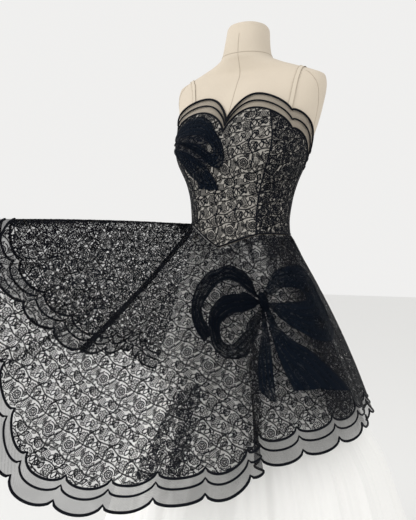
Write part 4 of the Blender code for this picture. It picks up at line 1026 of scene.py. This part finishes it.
def build_form(form, finishes):
    azimuths = np.linspace(-180, 180, 121)
    points = form.at(*np.meshgrid(azimuths, form_heights(70, 50)))
    bottom, top = (np.full((1, len(azimuths), 3), points[k].mean(0)) for k in (0, -1))
    points = np.concatenate([bottom, points, top])
    torso = cloth_piece("form_torso", points, finishes["form_linen"], "form_linen", "form_body")
    z = np.linspace(FORM_BOTTOM_Z, MIDDLE_SEAM_TOP_Z, 150)
    seams = [cord_on(form, azimuth, z, **FORM_SEAM) for azimuth in (0.0, 180.0)]
    z = np.linspace(*SIDE_SEAM_Z, 90)
    swing = np.sin(np.linspace(0, math.pi, 90))
    for side in (1, -1):
        for azimuth, reach in SIDE_SEAMS:
            seams.append(cord_on(form, side * (azimuth + reach * swing), z, **FORM_SEAM))
    seams.append(cord_on(form, np.linspace(-180, 180, 120), NECK_SEAM_Z, **NECK_SEAM))
    cords_piece("form_seams", seams, finishes["seam_and_painted_shadow"], "form_linen")


def build_bodice(form, finishes):
    for name, (start, end) in BODICE_PANELS.items():
        azimuths = np.linspace(start, end, int((end - start) * 0.75) + 1)
        shares = np.linspace(0, 1, 45)[:, None]
        heights = between(waist_seam_z(azimuths), neckline_z(azimuths, "lace"), shares)
        points = form.at(azimuths, heights, BODICE_FACE)
        ground = cloth_piece(f"{name}_ground", points, finishes["taupe_ground"], "black_lace", name)
        pieces = [bodice_lace(form, f"{name}_lace", start, end, 12.0, 0.0005, finishes)]
        # Side and back panels get a second lace layer, turned 57 degrees: doubled lace, and painted shade
        # that makes these panels darker than the front.
        if name != "bodice_front":
            pieces.append(bodice_lace(form, f"{name}_lace_under", start, end, 57.0, 0.0003, finishes))


def bodice_lace(form, name, start, end, angle, lift, finishes):
    """A layer of a panel's lace, laid out flat and wrapped round the form."""
    heights = np.linspace(0.99, 1.34, 36)
    radius = torso_radius(*np.meshgrid(np.linspace(start, end, 24), heights)).mean(axis=1)
    half = math.radians((end - start) / 2) * radius.max() + 0.01
    points, faces, kinds = tiled(((-half, 1.00), (half, 1.33)), angle)
    x, z = points.T
    azimuth = (start + end) / 2 + np.degrees(x / np.interp(z, heights, radius))
    inside = (azimuth > start - 1.0) & (azimuth < end + 1.0)
    inside &= (z > waist_seam_z(azimuth) - 0.001) & (z < neckline_z(azimuth, "lace") + 0.001)
    keep = inside[faces].all(axis=1)
    return lace_piece(name, form.at(azimuth, z, BODICE_FACE + lift), faces[keep], kinds[keep], finishes)


def build_neckline(form, finishes):
    azimuths = np.linspace(-180, 180, 541)
    lace, middle, outer = (neckline_z(azimuths, edge) for edge in NECK_START)
    shares = np.linspace(0, 1, 4)[:, None]
    heights = np.concatenate([between(lace, middle, shares[:-1]), between(middle, outer, shares)])
    points = form.at(azimuths, heights, BORDER_FACE)
    band = cloth_piece("neckline_net", points, finishes["neck_net"], "black_net", "neckline_border")
    cords = [cord_on(form, azimuths, z, BORDER_FACE + CORD_LIFT, radius, CORD_FLATNESS)
             for z, radius in zip((lace, middle, outer), NECK_CORD_RADII)]
    cords = cords_piece("neckline_cords", cords, finishes["cord"], "black_net")


def build_bodice_seams(form, finishes):
    seams = []
    for azimuth in sorted(start for start, end in BODICE_PANELS.values() if start > -180.0):
        z = np.linspace(waist_seam_z(azimuth), neckline_z(azimuth, "lace"), 80)
        seams.append(cord_on(form, azimuth, z, **BODICE_SEAM))
    azimuths = np.linspace(-180, 180, 541)
    seams.append(cord_on(form, azimuths, waist_seam_z(azimuths), **WAIST_SEAM))
    cords_piece("bodice_seams", seams, finishes["cord"], "black_lace")


def build_placket(form, finishes):
    heights = np.linspace(waist_seam_z(180.0) + 0.002, neckline_z(180.0, "lace") - 0.002, 40)
    points = form.at(*np.meshgrid(np.linspace(175.0, 185.0, 7), heights), BODICE_FACE + 0.0012)
    strip = cloth_piece("back_placket", points, finishes["lace_dense"], "black_lace", "bodice_back_placket")


def build_overskirt(skirt, cloth, finishes):
    for word, (start, end) in OVERSKIRT_PANELS.items():
        name = f"overskirt_{word}"
        turns = np.linspace(start, end, int((end - start) * 12) + 1)
        rhos = skirt.lace_edge(turns) * np.linspace(0, 1, 61)[:, None]
        wide = np.broadcast_to(turns, rhos.shape)
        ground = cloth_piece(f"{name}_net", cloth.at(wide, rhos), finishes["skirt_net"], "black_lace", name)
        crowd(ground, skirt.density(wide, rhos))
        plan = FlatPanel(skirt, start - SEAM_LAP, end + SEAM_LAP)
        pieces = overskirt_lace(skirt, cloth, name, plan, finishes)
        build_border(skirt, cloth, word, start, end, finishes)


def overskirt_lace(skirt, cloth, name, plan, finishes):
    """The lace of a panel, and a second layer of it where folds and gathers lie over each other."""
    pieces = []
    cuts = np.linspace(plan.turns[0], plan.turns[-1] + 0.01, 3 if len(plan.turns) > 36 else 2)
    for layer, turned_by, lift in (("lace", 0.0, 0.0007), ("folded_lace", 38.0, 0.0003)):
        points, faces, kinds = tiled(plan.box(), LACE_TURN[name] + turned_by)
        turn, rho = plan.turn_and_rho(points)
        known = ~np.isnan(turn)
        turn = np.where(known, turn, 0.0)
        inside = known & (rho > 0.002) & (rho < skirt.lace_edge(turn) - 0.002)
        if layer == "folded_lace":
            ragged = SECOND_LAYER_RAGGED * np.sin(9.1 * turn + 1.3 * np.sin(0.9 * turn) + 9.0 * rho)
            inside &= skirt.density(turn, rho) > SECOND_LAYER_FROM + ragged
        surface = cloth.at(turn, rho, lift)
        first_turn = turn[faces[:, 0]]
        whole = inside[faces].all(axis=1)
        for k, (low, high) in enumerate(zip(cuts, cuts[1:])):
            chosen = whole & (first_turn >= low) & (first_turn < high)
            if chosen.any():
                pieces.append(lace_piece(f"{name}_{layer}_{k + 1}", surface, faces[chosen], kinds[chosen],
                                         finishes))
    return pieces


def build_border(skirt, cloth, word, start, end, finishes):
    turns = np.linspace(start, end, int((end - start) * 16) + 1)
    rhos = np.stack([skirt.edge(turns, up) for up in np.linspace(BORDER_INNER + BORDER_OUTER, 0.0, 7)])
    points = cloth.at(turns, rhos)
    band = cloth_piece(f"hem_net_{word}", points, finishes["border_net"], "black_net", f"hem_border_{word}")
    cords = [cord_on(cloth, turns, skirt.edge(turns, up), CORD_LIFT, radius, CORD_FLATNESS)
             for up, radius in HEM_CORDS]
    cords = cords_piece(f"hem_cords_{word}", cords, finishes["cord"], "black_net")


def build_overskirt_seams(skirt, cloth, finishes):
    seams = []
    for start, turn in OVERSKIRT_PANELS.values():
        rhos = np.linspace(0.002, 1.0, 120) * skirt.lace_edge(turn)
        seams.append(cord_on(cloth, turn, rhos, **OVERSKIRT_SEAM))
    cords_piece("overskirt_seams", seams, finishes["cord"], "black_lace")


def build_seam_strip(skirt, cloth, finishes):
    seam = OVERSKIRT_PANELS["back_right"][1]
    drops = np.linspace(0.010, skirt.length(seam) - 0.003, 80)
    share = drops / skirt.length(seam)
    reach = np.linalg.norm(skirt.point(seam + 0.5, share) - skirt.point(seam - 0.5, share), axis=1)
    wide = seam + np.linspace(-0.5, 0.5, 5) * SEAM_STRIP_WIDTH / reach[:, None]
    points = cloth.at(wide, drops[:, None] / skirt.length(wide), -0.0020)
    strip = cloth_piece("seam_strip", points, finishes["bow_net"], "black_net", "overskirt_seam_strip")
    crowd(strip, np.full(wide.shape, 1.2))


class Bow:
    """One bow: a knot on a surface, and the gathered ribbons that run out of it."""

    def __init__(self, name, place, half, sheet, length, finishes):
        self.name, self.sheet, self.length, self.finishes = name, sheet, length, finishes
        self.place, self.half = np.array(place), np.array(half)
        a = np.linspace(0, 2 * math.pi, 49)
        t = np.linspace(0, 1, 13)[:, None]
        u = place[0] + half[0] * np.cos(a) * (1 - t)
        v = place[1] + half[1] * np.sin(a) * (1 - t)
        ridges = 0.0009 * np.sin(6 * math.pi * (u - place[0]) / half[0]) * np.sin(math.pi * t)
        points = sheet.at(u, self.row(u, v), 0.0008 + 0.0056 * np.sin(math.pi / 2 * t) ** 0.8 + ridges)
        tie = cloth_piece(f"{name}_bow_tie", points, finishes["bow_loop_net"], "black_net",
                          f"{name}_bow_knot")
        crowd(tie, np.full(u.shape, 1.15))

    def row(self, u, v):
        """Row of the sheet for a place in the bow's own measure: a drop on the skirt, a height above it."""
        return v / self.length(u) if self.length else v

    def into_knot(self, rows):
        """Rows of a ribbon drawn on into the knot at each end that starts or ends near it."""
        rows = [np.reshape(row, (2, 2)) / (1, 1000) for row in rows]
        for k, end in ((0, rows[0]), (len(rows) + 1, rows[-1])):
            if np.all(np.abs(end.mean(0) - self.place) < 3.2 * self.half):
                rows.insert(k, self.place + 0.25 * (end - self.place))
        return rows

    def ribbon(self, piece, rows, width, pleats, covers=(1.0, 1.0), finish="bow_net", thin=(),
               replaced=True, lift=0.0017, fold=0.0024):
        """Gathered net ribbon laid on the sheet, with pleats that run out of the knot.

        Its cover goes from one value to another along it, and is thin at places given as the middle
        along and across, the reach along and across, and how much of the cover is gone there.
        """
        rows = self.into_knot(rows)
        count = 8 * (len(rows) - 1) + 1
        first, second = (curve_through([row[k] for row in rows], count) for k in (0, 1))
        across, along = np.linspace(0, 1, 25), np.linspace(0, 1, count)[:, None]
        u, v = (between(first[:, k:k + 1], second[:, k:k + 1], across) for k in (0, 1))
        v = self.row(u, v)
        depth = fold * np.sin(math.pi * np.clip(along * 6, 0, 0.5)) * np.sin(math.pi * across) ** 0.4
        wave = np.sin(2 * math.pi * (pleats * across + 0.35 * np.sin(5 * along))) * 0.5 + 0.5
        wave = wave + 0.4 * np.sin(2 * math.pi * (pleats * 2.3 * across + 0.9 * along))
        points = self.sheet.at(u, v, lift + depth * wave)
        name = f"{self.name}_ribbon_{piece}"
        nodes = [f"{self.name}_bow_{piece}"] if replaced else []
        net = cloth_piece(name, points, self.finishes[finish], "black_net", *nodes)
        amounts = between(*covers, ramped(along - 0.42, 0.2)) + 0.34 * (np.clip(wave, 0, 1.3) - 0.6)
        amounts = amounts + 0.25 * np.exp(-along * 8)
        for middle, side, reach, spread, gone in thin:
            away = ((along - middle) / reach) ** 2 + ((across - side) / spread) ** 2
            amounts = amounts - gone * np.exp(-away)
        crowd(net, np.maximum(amounts, 0.05))
        rims = edge_cords(self.sheet, points, u, v, 0.0007)
        rims = cords_piece(f"{name}_edges", rims, self.finishes["cord"], "black_net")


def build_bows(skirt, cloth, form, finishes):
    lifted = Sheet(form.u, form.v, form.points + form.normals * BODICE_FACE, 1)
    skirt_bow = Bow("skirt", *SKIRT_KNOT, cloth, skirt.length, finishes)
    bodice_bow = Bow("bodice", *BODICE_KNOT, lifted, None, finishes)
    for piece, rows in SKIRT_BOW.items():
        skirt_bow.ribbon(piece, rows, *SKIRT_RIBBONS[piece])
    for piece, rows in BODICE_BOW.items():
        bodice_bow.ribbon(piece, rows, 0.045, 4.0)
    for piece, rows in BODICE_SECOND_LAYER.items():
        bodice_bow.ribbon(f"second_{piece}", rows, 0.035, 3.0, finish="bow_second_net", replaced=False,
                          lift=0.0012, fold=0.0010)


def strap_place(form, x, share):
    """Azimuth and height of a point of a strap at one place sideways, before or behind the shoulder."""
    columns = np.abs(form.u) < 90 if share < 0 else (np.abs(form.u) > 90) & (np.abs(form.u) <= 180)
    found = []
    for z, xs in zip(form.v, form.points[:, columns, 0]):
        if z < 1.15 or not xs.min() <= x <= xs.max():
            continue
        order = np.argsort(xs)
        azimuths = form.u[columns][order]
        side = azimuths * np.sign(x) > 0
        found.append((np.interp(x, xs[order][side], azimuths[side]), z))
    found = np.array(found)
    above = found[found[:, 1] > neckline_z(found[:, 0], "outer") + 0.001]
    start, top = above[0, 1], above[-1, 1]
    z = start + (top - start) * math.sin(math.pi / 2 * (1 - abs(share)))
    return np.interp(z, above[:, 1], above[:, 0]), z


def strap_rows(form, front, top, back, count=61):
    """Azimuths and heights of a strap's two edges, from the front neckline to the back one."""
    rows = []
    for k in range(count):
        share = 2 * k / (count - 1) - 1
        x = between(top, front if share < 0 else back, abs(share))
        rows.append([strap_place(form, x + side * STRAP_WIDTH / 2, share) for side in (-1, 1)])
    return np.array(rows)


def build_straps(form, finishes):
    across = np.linspace(0, 1, 5)
    for name, ends in STRAPS.items():
        rows = strap_rows(form, *ends)
        u, v = (between(rows[:, 0, k:k + 1], rows[:, 1, k:k + 1], across) for k in (0, 1))
        points = form.at(u, v, 0.0017)
        ribbon = cloth_piece(f"{name}_ribbon", points, finishes["ivory_satin"], "ivory_satin", name)
        # Cords in the seam colour along both edges of each strap are painted shadow lines where the strap
        # stands off the form.
        edges = edge_cords(form, points, u, v, 0.0005)
        edges = cords_piece(f"{name}_edges", edges, finishes["seam_and_painted_shadow"], "ivory_satin")


def build_underskirt(finishes):
    shares = np.linspace(0, 1, 64)[:, None]
    for name, (start, end, cut_length) in UNDERSKIRT_PANELS.items():
        azimuths = np.linspace(start, end, 361)
        top = waist_seam_z(azimuths) - 0.003
        z = between(top, UNDERSKIRT_HEM_Z, shares)
        values = sections(UNDERSKIRT_SECTIONS, z)
        a = np.radians(azimuths)
        side, ahead = np.sin(a), np.cos(a)
        radius = 1 / np.sqrt((side / values[..., 0]) ** 2 + (ahead / values[..., 1]) ** 2)
        opened = np.clip((1.0 - z) / 0.9, 0.0, 1.0)
        depth = UNDERSKIRT_FOLD_DEPTH * (0.75 + 0.25 * np.sin(3 * a + 1.0)) * opened ** 1.3
        radius += depth * np.cos(UNDERSKIRT_FOLDS * a) + UNDERSKIRT_WALL
        wander = 0.6 * np.sin(3.1 * z + 2 * a) + 0.4 * np.sin(5.3 * z + 5 * a)
        for ripples, height, sway in UNDERSKIRT_RIPPLES:
            radius += height * opened * np.sin(ripples * a + sway * wander)
        near = np.exp(-np.maximum(0.0, top - z) / 0.05)
        skin = torso_radius(azimuths, z) + 0.0016
        radius = between(radius, np.minimum(radius, skin + 0.004), near)
        radius = np.where(shares == 0, skin, radius)
        centre = between(values[..., 2], sections(TORSO_SECTIONS, z)[..., 3], near)
        points = np.stack([radius * side, centre - radius * ahead, z], -1)
        net = cloth_piece(f"{name}_net", points, finishes["white_tulle"], "white_tulle", name)


def build_stage():
    paint = new_material("floor_paint", (0.86, 0.86, 0.85), 0.9)[0]
    corners = [(x * FLOOR_HALF, y * FLOOR_HALF, 0) for x, y in ((-1, -1), (1, -1), (1, 1), (-1, 1))]
    add_mesh("floor", corners, [(0, 1, 2, 3)], paint)
    world = bpy.data.worlds.new("studio")
    world.use_nodes = True
    background = world.node_tree.nodes["Background"]
    background.inputs["Color"].default_value = (1.0, 0.995, 0.985, 1.0)
    background.inputs["Strength"].default_value = 0.87
    bpy.context.scene.world = world
    bpy.context.scene.view_settings.view_transform = "Standard"
    for name, (place, size, power) in LIGHTS.items():
        light = bpy.data.lights.new(name, "AREA")
        light.size = size
        light.energy = power
        lamp = bpy.data.objects.new(name, light)
        lamp.location = place
        lamp.rotation_euler = (Vector(LIGHTS_AIM) - Vector(place)).to_track_quat("-Z", "Y").to_euler()
        bpy.context.scene.collection.objects.link(lamp)


def build_camera():
    a = math.radians(CAMERA_AZIMUTH)
    back = Vector((math.sin(a), -math.cos(a), 0.0))
    data = bpy.data.cameras.new("camera")
    data.sensor_width = SENSOR_WIDTH
    data.lens = FOCAL_PIXELS * SENSOR_WIDTH / PICTURE[1]
    data.shift_x = -(AXIS_PIXEL[0] - PICTURE[0] / 2) / PICTURE[1]
    data.shift_y = (AXIS_PIXEL[1] - PICTURE[1] / 2) / PICTURE[1]
    camera = bpy.data.objects.new("camera", data)
    camera.location = back * CAMERA_DISTANCE + Vector((0, 0, CAMERA_Z))
    camera.rotation_euler = (-back).to_track_quat("-Z", "Y").to_euler()
    bpy.context.scene.collection.objects.link(camera)
    bpy.context.scene.camera = camera


def main():
    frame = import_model()
    build_camera()
    build_stage()
    finishes = make_finishes()
    iron = iron_material()
    for node in ("stand_base", "stand_pole"):
        frame["nodes"][node].data.materials.clear()
        frame["nodes"][node].data.materials.append(iron)
    form = form_sheet()
    skirt = Overskirt()
    cloth = skirt_sheet(skirt)
    build_form(form, finishes)
    build_bodice(form, finishes)
    build_neckline(form, finishes)
    build_bodice_seams(form, finishes)
    build_placket(form, finishes)
    build_overskirt(skirt, cloth, finishes)
    build_overskirt_seams(skirt, cloth, finishes)
    build_seam_strip(skirt, cloth, finishes)
    build_bows(skirt, cloth, form, finishes)
    build_straps(form, finishes)
    build_underskirt(finishes)


main()
